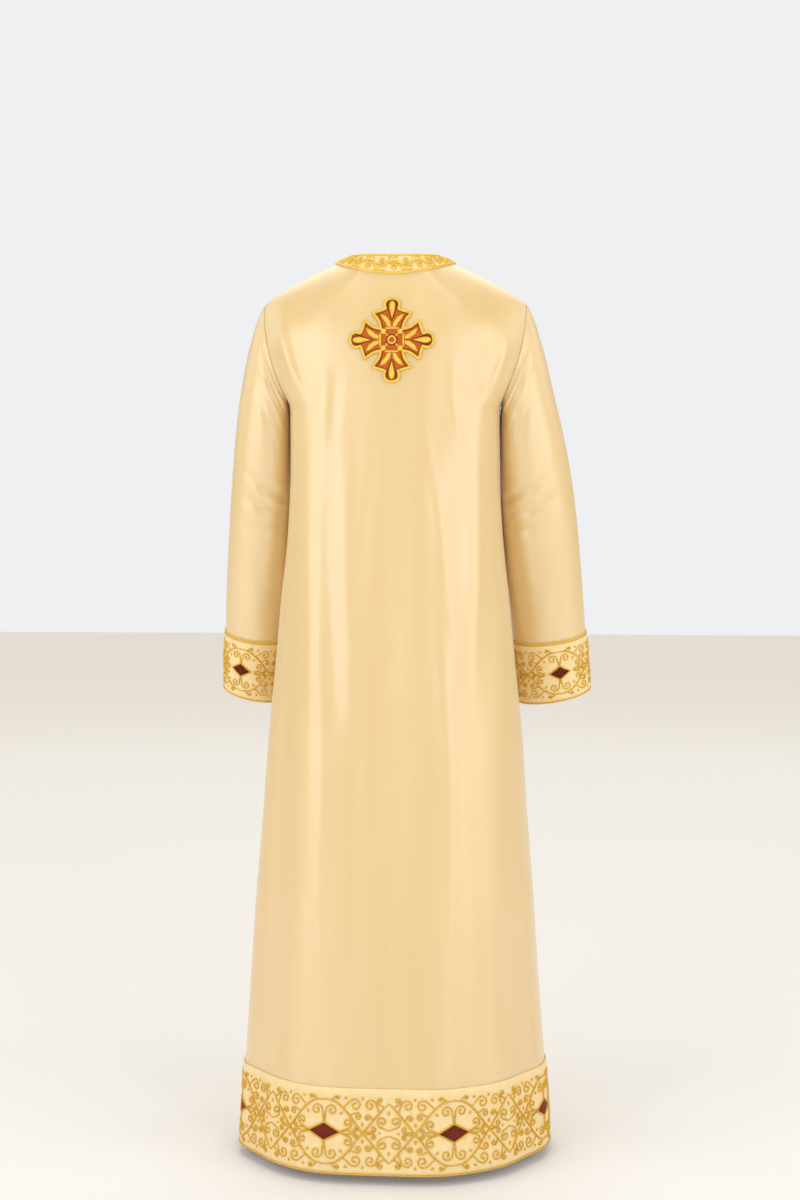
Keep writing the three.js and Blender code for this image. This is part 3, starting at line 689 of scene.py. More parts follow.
# %% [markdown]
# ## The panels
#
# The back and the front are cut as two pieces that meet at the shoulders and the sides. A
# single sheet of faces would look the same from outside, but the neck and the hem show the
# cloth's edge. So each panel is a closed wall a little over a millimetre thick, as a heavy
# satin with its seam folds is.

# %% Back and front
SATIN_THICK, SEAM_GAP = 1.2, 0.3
TIP_ROW = NECK_ROWS + SHOULDER_ROWS
UNDERARM_ROW = TIP_ROW + ARMHOLE_ROWS


def panel_grid(side):
    """The creased rows of a panel and their normals, with half a gap left at each seam."""
    rows = crease_panel(side, whole_panel(side))
    normals = normals_of(rows)
    out = 1 if side == "back" else -1
    at_seam = [r for r in range(len(rows)) if not TIP_ROW < r < UNDERARM_ROW]
    for c in (0, -1):
        rows[at_seam, c, 1] = out * SEAM_GAP / 2
        normals[at_seam, c, 1] = 0
    normals /= np.linalg.norm(normals, axis=2, keepdims=True)
    return rows, normals


def finish_piece(thing, material, node=None):
    """Gives a piece its material, its body and the solid that it takes the place of."""
    thing.data.materials.clear()
    thing.data.materials.append(material)
    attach(thing, "root")
    if node:
        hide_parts(node)
    return thing


BACK, BACK_N = panel_grid("back")
FRONT, FRONT_N = panel_grid("front")
back_cloth = finish_piece(
    shell("back_satin", BACK, SATIN_THICK, normals=BACK_N), SATIN, "back_panel")
front_cloth = finish_piece(
    shell("front_satin", FRONT, SATIN_THICK, normals=FRONT_N), SATIN, "front_panel")
print("panel grid", BACK.shape)

# %% [markdown]
# ## The sleeves
#
# A set-in sleeve is sewn into the armhole and hangs from it as a tube. A plain tube bent along
# a curve would meet the body in a hard ring. So the sleeve begins as the armhole's own loop and
# turns into an oval tube that follows the arm. Its sections fan out from the underarm, and the
# armhole's shape fades out over the cap.

# %% Sections of the sleeve
SLEEVE = Table(
    "at outer_x outer_z inner_x inner_z mid_y half_depth tilt right_outer right_inner", [
        (0.0, 214.5, -68, 172.5, -233, -2, 54, 0, 0, 0),
        (0.03, 221, -79, 173.2, -236.5, -3, 54.5, 0, 0, 0),
        (0.07, 229, -98, 172.8, -242, -4, 55, 0, 0, 0),
        (0.12, 237, -124, 172.2, -250, -5, 55, 1, 0, 0),
        (0.18, 245, -155, 172, -263, -7, 55, 2, 1, -0.6),
        (0.26, 252.5, -193, 172.1, -284, -10, 55, 4, 2, -1),
        (0.34, 259.5, -235, 171.9, -311, -13, 54, 6, 5, -1),
        (0.42, 265, -280, 172.1, -342, -18, 53, 8, 10, -1),
        (0.5, 270, -330, 172.8, -376, -25, 52.5, 10, 15, -1),
        (0.58, 275, -383, 173.9, -415, -35, 52, 12, 18, -0.5),
        (0.66, 279.5, -438, 174.8, -459, -47, 52, 13, 20, 1),
        (0.74, 284, -495, 177, -510, -61, 51.5, 13, 20.5, 2),
        (0.82, 288, -551, 181, -563, -75, 51, 12, 21, 3),
        (0.895, 290.5, -606, 185, -619, -89, 50.5, 12, 22.5, 4),
        (1.0, 296, -706, 194, -726, -115, 50, 12, 25, 4),
    ])
ARMHOLE_GAP, CAP_END, CUFF_FROM = 0.35, 0.3, 0.895
CAP_RINGS, ARM_RINGS, CUFF_RINGS = 34, 66, 14
print("rings along a sleeve:", CAP_RINGS + ARM_RINGS + CUFF_RINGS)

# %% Creases of the sleeve
ELBOW = [  # at, half, height, degrees round from the outer line through the back, spread, tilt
    (0.512, 0.014, -5.5, 125, 50, 0.00035), (0.562, 0.012, -6, 122, 52, 0.0001),
    (0.612, 0.014, -4, 125, 48, -0.0003),
]
ROUND_MM, ALONG_MM = 0.95, 700  # millimetres a degree round the arm, and along the sleeve
TUCK_AT, TUCK_HALF, TUCK_TALL = 207, 12, 4.4
FACES_BODY, CALM_HALF = 180, 40  # degrees: the side that faces the body, and how wide it is calm
RIGHT_SHIFT = 0.012  # the right arm's creases sit this share further down
SLEEVE_STROKES = [  # height, half width, then the line as (degrees round, at)
    (2.6, 6, [(58, 0.03), (95, 0.05), (135, 0.08), (165, 0.13)]),
    (-2.2, 6, [(52, 0.055), (92, 0.08), (130, 0.12), (158, 0.18)]),
    (2.0, 8, [(50, 0.10), (88, 0.14), (122, 0.20), (150, 0.28)]),
    (-1.6, 9, [(70, 0.20), (100, 0.28), (125, 0.36)]),
    (2.2, 8, [(90, 0.455), (130, 0.475), (170, 0.47), (200, 0.455)]),
    (-2.4, 7, [(96, 0.49), (130, 0.502), (175, 0.498)]),
    (2.4, 8, [(85, 0.53), (125, 0.545), (170, 0.54), (205, 0.53)]),
    (-2.2, 7, [(110, 0.578), (145, 0.59), (185, 0.585)]),
    (1.8, 10, [(80, 0.60), (115, 0.625), (160, 0.63)]),
    (-1.4, 11, [(60, 0.52), (85, 0.56), (100, 0.62)]),
    (1.5, 9, [(70, 0.66), (85, 0.76), (95, 0.87)]),
    (-1.4, 9, [(130, 0.68), (128, 0.78), (122, 0.87)]),
    (1.4, 8, [(28, 0.30), (34, 0.42), (30, 0.50)]),
    (2.2, 8, [(300, 0.04), (262, 0.06), (225, 0.10), (200, 0.16)]),
    (-1.8, 8, [(296, 0.08), (260, 0.11), (222, 0.17)]),
    (2.0, 8, [(215, 0.47), (255, 0.49), (290, 0.50)]),
    (-2.0, 7, [(220, 0.52), (256, 0.53), (288, 0.535)]),
    (1.8, 8, [(225, 0.57), (262, 0.58), (300, 0.575)]),
    (1.4, 10, [(290, 0.64), (284, 0.76), (276, 0.87)]),
    (-1.4, 10, [(330, 0.60), (326, 0.74), (320, 0.86)]),
]
print("creases on a sleeve:", len(ELBOW) + len(SLEEVE_STROKES))


# %% Rows of the sleeve
def sleeve_ellipse(at, turn, arm):
    """Points of the arm's oval sections, each tilted with the arm."""
    get = lambda column: SLEEVE.at(column, at)
    extra = 1 if arm < 0 else 0
    outer = np.stack([get("outer_x") + extra * get("right_outer"), get("outer_z")], -1)
    inner = np.stack([get("inner_x") + extra * get("right_inner"), get("inner_z")], -1)
    place = (outer + inner) / 2 + (outer - inner) / 2 * np.cos(turn)[..., None]
    depth, tilt = get("half_depth") * np.sin(turn), np.radians(get("tilt"))
    y = get("mid_y") + depth * np.cos(tilt)
    return np.stack([place[..., 0], y, place[..., 1] - depth * np.sin(tilt)], -1)


def sleeve_grid(arm):
    """The sleeve on the +X side; with arm -1 it has the right arm's reach, and the caller mirrors it."""
    loop = np.concatenate([
        whole_panel("back")[TIP_ROW : UNDERARM_ROW + 1, 0],
        whole_panel("front")[UNDERARM_ROW - 1 : TIP_ROW : -1, -1],
    ])
    stations = np.concatenate([
        np.linspace(0, CAP_END, CAP_RINGS + 1) ** 1.25 * CAP_END ** -0.25,
        np.linspace(CAP_END, CUFF_FROM, ARM_RINGS + 1)[1:],
        np.linspace(CUFF_FROM, 1, CUFF_RINGS + 1)[1:],
    ])
    count = len(loop)
    at, turn = np.meshgrid(stations, np.arange(count) / count * math.tau, indexing="ij")
    rows = sleeve_ellipse(at, turn, arm)
    start = sleeve_ellipse(np.zeros(count), turn[0], arm)
    fade = (1 - ramp(at, 0, CAP_END)) ** 1.5
    rows += fade[..., None] * (loop - start)
    rows[0, :, 0] += ARMHOLE_GAP
    degrees = np.degrees(turn)
    height = np.zeros(at.shape)
    for place, half, tall, centre, spread, tilt in ELBOW:
        aside = degrees - centre
        height += tall * bell(at - place - tilt * aside, half) * bell(aside, spread)
    shift = RIGHT_SHIFT if arm < 0 else 0.0
    for tall, half, line in SLEEVE_STROKES:
        points = [(d * ROUND_MM, (a + shift) * ALONG_MM) for d, a in line]
        height += tall * stroke_height(degrees * ROUND_MM, at * ALONG_MM, points, half)
    calm = ramp(at, 0, 0.03) * (1 - ramp(at, CUFF_FROM - 0.03, CUFF_FROM))
    # The side that faces the body stays calm, for a ridge would run into it. A soft fold in
    # front of it closes the view between arm and body.
    height *= 1 - bell(degrees - FACES_BODY, CALM_HALF)
    tuck = bell((degrees - TUCK_AT) * ROUND_MM, TUCK_HALF)
    tuck = tuck * ramp(at, 0.03, 0.1) * (1 - ramp(at, 0.4, 0.5))
    height = (height + TUCK_TALL * tuck) * calm
    rows += normals_of(rows, True) * height[..., None]
    normals = normals_of(rows, True)
    normals[0, :, 0] = np.minimum(normals[0, :, 0], 0)
    normals /= np.linalg.norm(normals, axis=2, keepdims=True)
    return rows, normals


print("outer point of the wrist:", sleeve_ellipse(np.ones(1), np.zeros(1), 1)[0].round(1))

# %% Left and right sleeve
def mirrored(rows, normals):
    flip = np.array((-1, 1, 1))
    return (rows * flip)[:, ::-1], (normals * flip)[:, ::-1]


SLEEVES, sleeve_cloth = {}, {}
for word, arm in (("left", 1), ("right", -1)):
    grid, grid_n = sleeve_grid(arm)
    if arm < 0:
        grid, grid_n = mirrored(grid, grid_n)
    SLEEVES[word] = (grid, grid_n)
    piece = shell(f"sleeve_satin_{word}", grid, SATIN_THICK, True, normals=grid_n)
    sleeve_cloth[word] = finish_piece(piece, SATIN, f"sleeve_{word}")
print("sleeve grid", SLEEVES["left"][0].shape)

# %% [markdown]
# ## The bands
#
# Neckband, cuffs and hem band are cut from stiff cream brocade, embroidered flat, and sewn over
# the satin. A band could be its own tube, shrunk onto the robe, but it would cut through the
# folds. So each band here is lifted from the panel's own points. The same lifted grid then
# says where a flat drawing of the pattern lands on the cloth.

# %% Band grids
LAID_ON, BAND_THICK = 0.3, 1.5
BAND_TOP = LAID_ON + BAND_THICK
HEM_FROM = UNDERARM_ROW + UNDERARM_ROWS + SKIRT_ROWS


def join_ring(take):
    """Back and front rows as one ring that starts at the left side seam."""
    rows = np.concatenate([take(BACK), take(FRONT)[:, 1:-1]], 1)
    normals = np.concatenate([take(BACK_N), take(FRONT_N)[:, 1:-1]], 1)
    rows[:, 0, 1] = rows[:, BACK.shape[1] - 1, 1] = 0
    return rows, normals


PAD_WIDTH, PAD_TALL = 13, 1.5  # a padded strip along the top of the hem band
PAD_SEED, PAD_LUMP = 11, 30


def padded(rows, normals):
    """The hem band's rows, swollen into a soft roll along the top edge."""
    down = (HEM_BAND_TOP_Z - rows[..., 2]) / PAD_WIDTH
    swell = PAD_TALL * np.sin(math.pi * np.clip(down, 0, 1)) ** 0.6
    swell *= 1 + 0.3 * soft_wander(rows[..., 0], rows[..., 1], PAD_SEED, PAD_LUMP)
    return rows + normals * swell[..., None]


def band_piece(name, node, rows, normals, closed=True):
    piece = shell(name, rows, BAND_THICK, closed, BAND_TOP, normals)
    return finish_piece(piece, BAND_GROUND, node)


for side, grid, grid_n in (("back", BACK, BACK_N), ("front", FRONT, FRONT_N)):
    grid, grid_n = grid[HEM_FROM:], grid_n[HEM_FROM:]
    band_piece(
        f"hem_band_cloth_{side}", f"hem_band_{side}", padded(grid, grid_n), grid_n, closed=False)
NECK_GRID = join_ring(lambda grid: grid[: NECK_ROWS + 1])
band_piece("neckband_cloth", "neckband", *NECK_GRID)
HEM_GRID = join_ring(lambda grid: grid[HEM_FROM:])
CUFF_GRIDS = {}
for word, (grid, grid_n) in SLEEVES.items():
    CUFF_GRIDS[word] = (grid[-CUFF_RINGS - 1 :], grid_n[-CUFF_RINGS - 1 :])
    band_piece(f"cuff_cloth_{word}", f"cuff_{word}", *CUFF_GRIDS[word])


# %% Where a flat drawing lands on a band
class BandMap:
    """Maps a flat drawing in millimetres onto a closed band.

    along goes round the ring, up is measured from the band's middle, and shift_up moves all
    of the drawing.
    """

    def __init__(self, rows, normals, shift_up=0.0):
        self.rows, self.normals, self.shift_up = rows + normals * BAND_TOP, normals, shift_up
        middle = self.rows[len(rows) // 2]
        steps = np.linalg.norm(np.roll(middle, -1, 0) - middle, axis=1)
        self.along = np.concatenate([[0], np.cumsum(steps)])
        self.length = self.along[-1]
        height = np.linalg.norm(np.diff(self.rows, axis=0), axis=2).mean(1)
        self.down = np.concatenate([[0], np.cumsum(height)])
        self.width = self.down[-1]

    def place(self, along, up, lift=0.0):
        along, up = np.asarray(along, float) % self.length, np.asarray(up) + self.shift_up
        columns = self.rows.shape[1]
        c = np.interp(along, self.along, np.arange(len(self.along)))
        r = np.interp(self.width / 2 - up, self.down, np.arange(len(self.down)))
        r0, c0 = np.minimum(r.astype(int), len(self.down) - 2), c.astype(int) % columns
        c1, fr, fc = (c0 + 1) % columns, (r - r0)[..., None], (c - np.floor(c))[..., None]
        mix = lambda g: (1 - fr) * ((1 - fc) * g[r0, c0] + fc * g[r0, c1]) + fr * (
            (1 - fc) * g[r0 + 1, c0] + fc * g[r0 + 1, c1])
        normal = mix(self.normals)
        normal /= np.linalg.norm(normal, axis=-1, keepdims=True)
        return mix(self.rows) + normal * lift, normal


HEM_DROP, CUFF_DROP = 1.5, 2.5  # these patterns sit a little below the middle of the band
HEM_MAP = BandMap(*HEM_GRID, -HEM_DROP)
NECK_MAP = BandMap(*NECK_GRID)
CUFF_MAPS = {word: BandMap(*grid, -CUFF_DROP) for word, grid in CUFF_GRIDS.items()}
for word, band_map in {"hem": HEM_MAP, "neck": NECK_MAP, **CUFF_MAPS}.items():
    print(word, round(band_map.length), "x", round(band_map.width), "mm")

# %% [markdown]
# ## Drawing with cord
#
# Laid work is drawn with a cord that is bent into shape and stitched down. A texture could
# show it, but real cords stand up and catch the light, so here they are meshes. A scroll is a
# straight stem that runs into a spiral. All the shapes come from textbook ornament: an oval, a
# lattice, paired scrolls that make a heart, and a lozenge set with beads.

# %% Flat shapes
SPIRAL_CLOSES = 0.74  # the share of its radius that a spiral loses on its way in


def vine(start, centre, radius, hand, turns, step=2.0):
    """A straight stem that runs into a spiral round a centre; hand 1 turns left, -1 right."""
    start, centre = np.asarray(start, float), np.asarray(centre, float)
    away = start - centre
    distance = max(math.hypot(*away), radius * 1.02)
    first = math.atan2(away[1], away[0]) + hand * math.acos(radius / distance)
    t = np.linspace(0, 1, max(12, int(turns * 5.2 * radius / step)))
    angle = first + hand * turns * math.tau * t
    reach = radius * (1 - SPIRAL_CLOSES * t**0.9)
    spiral = centre + np.stack([reach * np.cos(angle), reach * np.sin(angle)], 1)
    count = max(2, int(np.linalg.norm(spiral[0] - start) / step))
    stem = start + np.linspace(0, 1, count, endpoint=False)[:, None] * (spiral[0] - start)
    return np.concatenate([stem, spiral])


def smooth_line(points, step=2.2):
    """A smooth line through a few points."""
    points = np.asarray(points, float)
    padded = np.concatenate([[2 * points[0] - points[1]], points, [2 * points[-1] - points[-2]]])
    out = []
    for a, b, c, d in zip(padded, padded[1:], padded[2:], padded[3:]):
        count = max(2, int(np.linalg.norm(c - b) / step))
        t = np.linspace(0, 1, count, endpoint=False)[:, None]
        out.append(b + 0.5 * t * (c - a + t * (2 * a - 5 * b + 4 * c - d + t * (3 * (b - c) + d - a))))
    out.append(points[-1:])
    return np.concatenate(out)


def flips(lines):
    """A set of lines with their mirror images left to right and top to bottom."""
    sets = [(1, 1), (-1, 1), (1, -1), (-1, -1)]
    return [(np.asarray(line) * flip, width) for flip in sets for line, width in lines]


def circle_line(radius, count):
    turn = np.linspace(0, math.tau, count, endpoint=False)
    return np.stack([radius * np.cos(turn), radius * np.sin(turn)], 1)


def ring_line(band_map, up, count):
    """A level line all the way round a band."""
    along = np.linspace(0, band_map.length, count, endpoint=False)
    return np.stack([along, np.full(count, up)], 1)


def outward(thing):
    """Turns every face of a mesh to look outward."""
    mesh = bmesh.new()
    mesh.from_mesh(thing.data)
    bmesh.ops.recalc_face_normals(mesh, faces=mesh.faces)
    mesh.to_mesh(thing.data)
    mesh.free()


print("a curl 10 mm in radius has", len(vine((0, 0), (20, 0), 10, 1, 1.35)), "points")

# %% Cord and bead meshes
CORD_TALL = 0.72  # a cord's height as a share of its width
CORD_SHAPE = [(-1, -0.15), (-0.72, 0.62), (0, 1), (0.72, 0.62), (1, -0.15)]  # aside, up
CUSHION = [(1, -0.1), (0.86, 0.75), (0.5, 1)]  # rings of a pad: size, height


class Stitches:
    """Collects cords, leaves and beads on one band, and makes them one mesh."""

    def __init__(self, ground):
        self.place, self.points, self.faces, self.count = ground.place, [], [], 0

    def add(self, points, faces):
        self.points.append(points)
        self.faces += [tuple(i + self.count for i in face) for face in faces]
        self.count += len(points)

    def cord(self, line, width, height=None, closed=False, offset=0.0):
        """A half-round cord along a line, thinner at its ends unless it closes on itself."""
        height = height or width * CORD_TALL
        line = np.asarray(line, float)
        middle, normal = self.place(line[:, 0] + offset, line[:, 1])
        if closed:
            tangent = np.roll(middle, -1, 0) - np.roll(middle, 1, 0)
        else:
            tangent = np.gradient(middle, axis=0)
        side = np.cross(normal, tangent)
        side /= np.maximum(np.linalg.norm(side, axis=1, keepdims=True), 1e-9)
        taper = np.ones(len(line))
        if not closed:
            t = np.linspace(0, 1, len(line))
            taper = 0.55 + 0.45 * np.clip(np.minimum(t, 1 - t) * 8, 0, 1)
        rings = np.stack([
            middle + side * (a * width / 2 * taper)[:, None] + normal * (b * height * taper)[:, None]
            for a, b in CORD_SHAPE
        ], 1)
        sides, total = len(CORD_SHAPE), len(line)
        faces = []
        for i in range(total if closed else total - 1):
            for k in range(sides):
                j, m = (i + 1) % total, (k + 1) % sides
                faces.append((i * sides + k, i * sides + m, j * sides + m, j * sides + k))
        if not closed:
            faces.append(tuple(range(sides))[::-1])
            faces.append(tuple((total - 1) * sides + k for k in range(sides)))
        self.add(rings.reshape(-1, 3), faces)

    def pad(self, outline, height, offset=0.0):
        """A low cushion of stitches inside an outline."""
        outline = np.asarray(outline, float)
        centre = outline.mean(0)
        rings = []
        for share, rise in CUSHION:
            line = centre + (outline - centre) * share
            p, normal = self.place(line[:, 0] + offset, line[:, 1])
            rings.append(p + normal * height * rise)
        top, normal = self.place(np.array([centre[0] + offset]), centre[1:2])
        n = len(outline)
        points = np.concatenate([*rings, top + normal * height * 1.02])
        faces = [(r * n + i, r * n + (i + 1) % n, (r + 1) * n + (i + 1) % n, (r + 1) * n + i)
                 for r in range(2) for i in range(n)]
        faces += [(2 * n + i, 2 * n + (i + 1) % n, 3 * n) for i in range(n)]
        faces.append(tuple(range(n))[::-1])
        self.add(points, faces)

    def make(self, name, material):
        thing = new_object(name, np.concatenate(self.points), self.faces)
        outward(thing)
        thing.data.shade_smooth()
        finish_piece(thing, material, None)
        print(name, len(thing.data.polygons), "faces")
        return thing


# %% [markdown]
# ## The repeat of the hem band
#
# One repeat has an oval with a beaded lozenge in its middle and scrolls that fill it. Between
# two ovals a lattice crosses, with hearts of scrolls. An embroiderer draws one quarter of such
# a pattern and turns the paper over for the rest, so a quarter is all that is given here, and
# a change to it keeps the whole in balance. Seven repeats go round the hem.

# %% The repeat
# Drawn for a repeat 211 mm long and 116 mm tall. Other bands scale it.
REPEAT_HALF = np.array((105.5, 58))
LOZENGE = {"half_long": 26.5, "half_tall": 14.5}
CURL_END = 0.78  # size of the knot that ends a curl, in cord widths
LATTICE_CORD, VINE_CORD, BORDER_CORD, LEAF_TALL = 1.12, 0.86, 0.95, 0.5  # in cord widths too
LATTICE = [(0, 50), (18, 47), (36, 33), (52, 13), (63, 0), (80, -19), (96, -37), (105.5, -46)]
VINES = [  # start x, y; centre x, y; radius; hand; turns. One quarter of the repeat.
    (1.5, 16, 12.5, 33, 9.6, -1, 1.15), (27, 2, 38, 14, 8.0, 1, 1.1), (33, 3, 51, 5.5, 3.8, 1, 0.8),
    (31, 38, 51, 42.5, 10, -1, 1.15), (42, 27, 55, 25, 6.4, -1, 1.0), (90, 31, 75.5, 42.5, 9.6, 1, 1.15),
    (79, 18, 71, 23, 5.8, 1, 1.0), (98, 40, 91.5, 50, 5.6, -1, 1.0), (105.5, 4, 95, 17.5, 9.0, -1, 1.15),
    (66, 2, 80, 6.5, 5.2, 1, 0.95), (12, 49.5, 22, 53, 3.8, -1, 0.85),
]
BEAD_SIZE, BEAD_STRETCH, BEAD_TALL, BEADS_REACH = 0.16, 1.35, 1.0, 0.92
LEAVES = [  # x, y, heading, size
    (0, 18, 90, 3.6), (29, 0, 0, 3.0), (62.5, 10, 90, 3.6), (105.5, 28, 90, 3.4), (26, 27, 50, 3.2),
    (33, 52, 20, 3.0), (63, 50, 90, 3.0), (88, 0, 0, 2.6),
]


def leaf(x, y, heading, size):
    """The outline of a leaf that grows from x, y at a heading in degrees."""
    angle = np.linspace(0, math.tau, 10, endpoint=False)
    turn = math.radians(heading)
    px = size * (1 + np.cos(angle))
    py = size * 0.62 * np.sin(angle) * (1 - 0.35 * np.cos(angle))
    return np.stack([x + px * math.cos(turn) - py * math.sin(turn),
                     y + px * math.sin(turn) + py * math.cos(turn)], 1)


def band_repeat(half_long, half_tall, thick):
    """Cords and leaves of one repeat, centred on its lozenge."""
    scale = np.array((half_long, half_tall)) / REPEAT_HALF
    size = math.sqrt(scale[0] * scale[1])
    cords = [(smooth_line(np.array(LATTICE) * scale), thick * LATTICE_CORD)]
    for sx, sy, cx, cy, radius, hand, turns in VINES:
        line = vine((sx, sy) * scale, (cx, cy) * scale, radius * size, hand, turns)
        cords.append((line, thick * VINE_CORD))
    leaves = [leaf(x * scale[0], y * scale[1], heading, length * size)
              for x, y, heading, length in LEAVES]
    knot = thick * CURL_END
    leaves += [leaf(*line[-1], 0, knot) - (knot, 0) for line, _ in cords[1:]]
    # A leaf on a mirror line, or on the join with the next repeat, is its own mirror image.
    places, single = set(), []
    for outline, _ in flips([(outline, 0) for outline in leaves]):
        spot = tuple(int(round(v)) for v in outline.mean(0))
        if spot not in places and spot[0] > 1 - half_long:
            single.append(outline)
        places.add(spot)
    return flips(cords), single


def lozenge_border(lozenge, count, inset=0.0):
    lx, ly = lozenge["half_long"] - inset, lozenge["half_tall"] - inset * 0.7
    corners = [(lx, 0), (0, ly), (-lx, 0), (0, -ly)]
    sides = zip(corners, corners[1:] + corners[:1])
    return np.concatenate([np.linspace(a, b, count, endpoint=False) for a, b in sides])


print("one quarter has", len(VINES), "vines")

# %% Sewing the repeat
def sew_repeat(stitches, offset, half_long, half_tall, lozenge, thick=3.0):
    cords, leaves = band_repeat(half_long, half_tall, thick)
    for line, width in cords:
        stitches.cord(line, width, offset=offset)
    for outline in leaves:
        stitches.pad(outline, thick * LEAF_TALL, offset)
    stitches.cord(lozenge_border(lozenge, 8), thick * BORDER_CORD, closed=True, offset=offset)


def sew_lozenge(ground, beads, offset, lozenge, spacing=6.2):
    """A dark ground with rows of oval beads on it, aslant like the lozenge's own sides."""
    lx, ly = lozenge["half_long"] - 1.0, lozenge["half_tall"] - 0.8
    bead = circle_line(spacing * BEAD_SIZE, 8) * (BEAD_STRETCH, 1)
    ground.pad(lozenge_border(lozenge, 5, 1.0), 0.5, offset)
    count = int(lx / spacing)
    for i in range(-count, count + 1):
        for j in range(-count, count + 1):
            u, v = i / (count + 0.6), j / (count + 0.6)
            x, y = (u + v) * lx / 2, (u - v) * ly / 2
            if abs(x) / lx + abs(y) / ly < BEADS_REACH:
                beads.pad(bead + (x, y), BEAD_TALL, offset)


print("cords in one repeat:", len(band_repeat(*REPEAT_HALF, 3.0)[0]))

# %% Hem embroidery
HEM_REPEATS = 7
HALF_REPEAT = HEM_MAP.length / HEM_REPEATS / 2
CENTRE_BACK = HEM_MAP.along[(BACK.shape[1] - 1) // 2]
HEM_HALF_TALL, HEM_CORD = 57, 3.3
EDGE_IN = 1.6  # a cord round an edge lies this far in from it
hem_gold, hem_ground, hem_beads = (Stitches(HEM_MAP) for _ in range(3))
for i in range(HEM_REPEATS):
    offset = CENTRE_BACK + (2 * i + 1) * HALF_REPEAT
    sew_repeat(hem_gold, offset, HALF_REPEAT, HEM_HALF_TALL, LOZENGE, HEM_CORD)
    sew_lozenge(hem_ground, hem_beads, offset, LOZENGE)
round_hem = ring_line(HEM_MAP, -HEM_MAP.width / 2 + EDGE_IN + HEM_DROP, 560)
hem_gold.cord(round_hem, 3.0, 1.6, closed=True)
hem_work = [
    hem_gold.make("hem_gold_work", GOLD_THREAD),
    hem_ground.make("hem_lozenges", GARNET_GROUND),
    hem_beads.make("hem_beads", GARNET),
]

# %% [markdown]
# ## Cuffs
#
# The cuffs carry the same ornament at a smaller size, twice round, between two cords at the
# top and one at the edge of the mouth. They could have a drawing of their own, but a set of
# vestments shares one, so the repeat of the hem is scaled.

# %% Cuff embroidery
CUFF_LOZENGE = {"half_long": 18, "half_tall": 12}
CUFF_HALF_TALL, CUFF_CORD, CUFF_BEADS = 43, 2.7, 5.0
# A lozenge shows on the back of each cuff, a little to its outer side.
FIRST_LOZENGE = {"left": 0.19, "right": 1 - 0.225}  # as a share of the way round
for word, band_map in CUFF_MAPS.items():
    gold, ground, beads = (Stitches(band_map) for _ in range(3))
    half = band_map.length / 4
    first = band_map.length * FIRST_LOZENGE[word]
    for i in range(2):
        offset = first + 2 * half * i
        sew_repeat(gold, offset, half, CUFF_HALF_TALL, CUFF_LOZENGE, CUFF_CORD)
        sew_lozenge(ground, beads, offset, CUFF_LOZENGE, CUFF_BEADS)
    for up, width, tall in ((-2.0, 3.0, 0.9), (-5.4, 2.4, 0.9), (EDGE_IN - band_map.width, 3.0, 1.2)):
        ring = ring_line(band_map, band_map.width / 2 + up + CUFF_DROP, 150)
        gold.cord(ring, width, tall, closed=True)
    gold.make(f"cuff_gold_work_{word}", GOLD_THREAD)
    ground.make(f"cuff_lozenges_{word}", GARNET_GROUND)
    beads.make(f"cuff_beads_{word}", GARNET)

# %% [markdown]
# ## Neckband
#
# The neckband is narrow and sits by the face, so it is worked more closely than the rest. The
# hem's repeat would shrink to a blur on it. A running vine is the usual answer: one wavy stem
# with a curl in each of its bends, between two heavy borders.

# %% Neckband embroidery
NECK_REPEATS = 16
STEM_WAVE = 4.6
NECK_LEAVES = [  # x, y, heading, size
    (-8.6, 8.8, 20, 3.2), (8.6, 8.8, 160, 3.2), (-2.2, 9.4, 0, 2.2), (11, -6.5, 70, 2.8),
    (-11, -6.5, 110, 2.8),
]
neck_gold = Stitches(NECK_MAP)
half = NECK_MAP.length / NECK_REPEATS / 2
centre = NECK_MAP.along[(BACK.shape[1] - 1) // 2]
stem = ring_line(NECK_MAP, 0, 400)
stem[:, 1] = STEM_WAVE * np.cos((stem[:, 0] - centre) / half * math.pi)
neck_gold.cord(stem, 3.8, closed=True)
for i in range(2 * NECK_REPEATS):
    flip = 1 if i % 2 == 0 else -1
    offset = centre + half * i
    curl = vine((-half * 0.62, 1.5), (0.5, -4.6), 5.4, -1, 1.2, 1.6) * (1, flip)
    neck_gold.cord(curl, 3.4, offset=offset)
    for x, y, heading, size in NECK_LEAVES:
        neck_gold.pad(leaf(x, y, heading, size) * (1, flip), 1.5, offset)
for up in (NECK_MAP.width / 2 - 2.2, -NECK_MAP.width / 2 + 2.2):
    neck_gold.cord(ring_line(NECK_MAP, up, 300), 4.4, 1.7, closed=True)
neck_work = neck_gold.make("neckband_gold_work", BRIGHT_GOLD)

# %% [markdown]
# ## The cross
#
# The cross on the back is an applied piece: a rust-coloured fill edged with thick gold cord,
# with gold leaves inside each flared arm. It could be cut from a disc with booleans, but its
# faces would be long slivers. So its outline is drawn for one arm, turned four times, and
# filled with even triangles that bend with the panel.

# %% Places on the back
CROSS_Z, CROSS_LIFT, CROSS_THICK = -130, 0.5, 1.4
SLOPE_STEP = 2.0  # how far apart the form is read to find how it slopes


class BackMap:
    """Maps (across, up) round the cross's centre onto the back panel."""

    def __init__(self, base):
        self.base = base

    def place(self, across, up, lift=0.0):
        x, z, step = -np.asarray(across, float), np.asarray(up, float) + CROSS_Z, SLOPE_STEP
        y = lambda px, pz: form_y(px, pz, "back") + fold_height("back", px, pz)
        point = np.stack([x, y(x, z), z], -1)
        slope_x = (y(x + step, z) - y(x - step, z)) / (2 * step)
        slope_z = (y(x, z + step) - y(x, z - step)) / (2 * step)
        normal = np.stack([-slope_x, np.ones_like(slope_x), -slope_z], -1)
        normal /= np.linalg.norm(normal, axis=-1, keepdims=True)
        return point + normal * (CROSS_LIFT + (lift + self.base)), normal


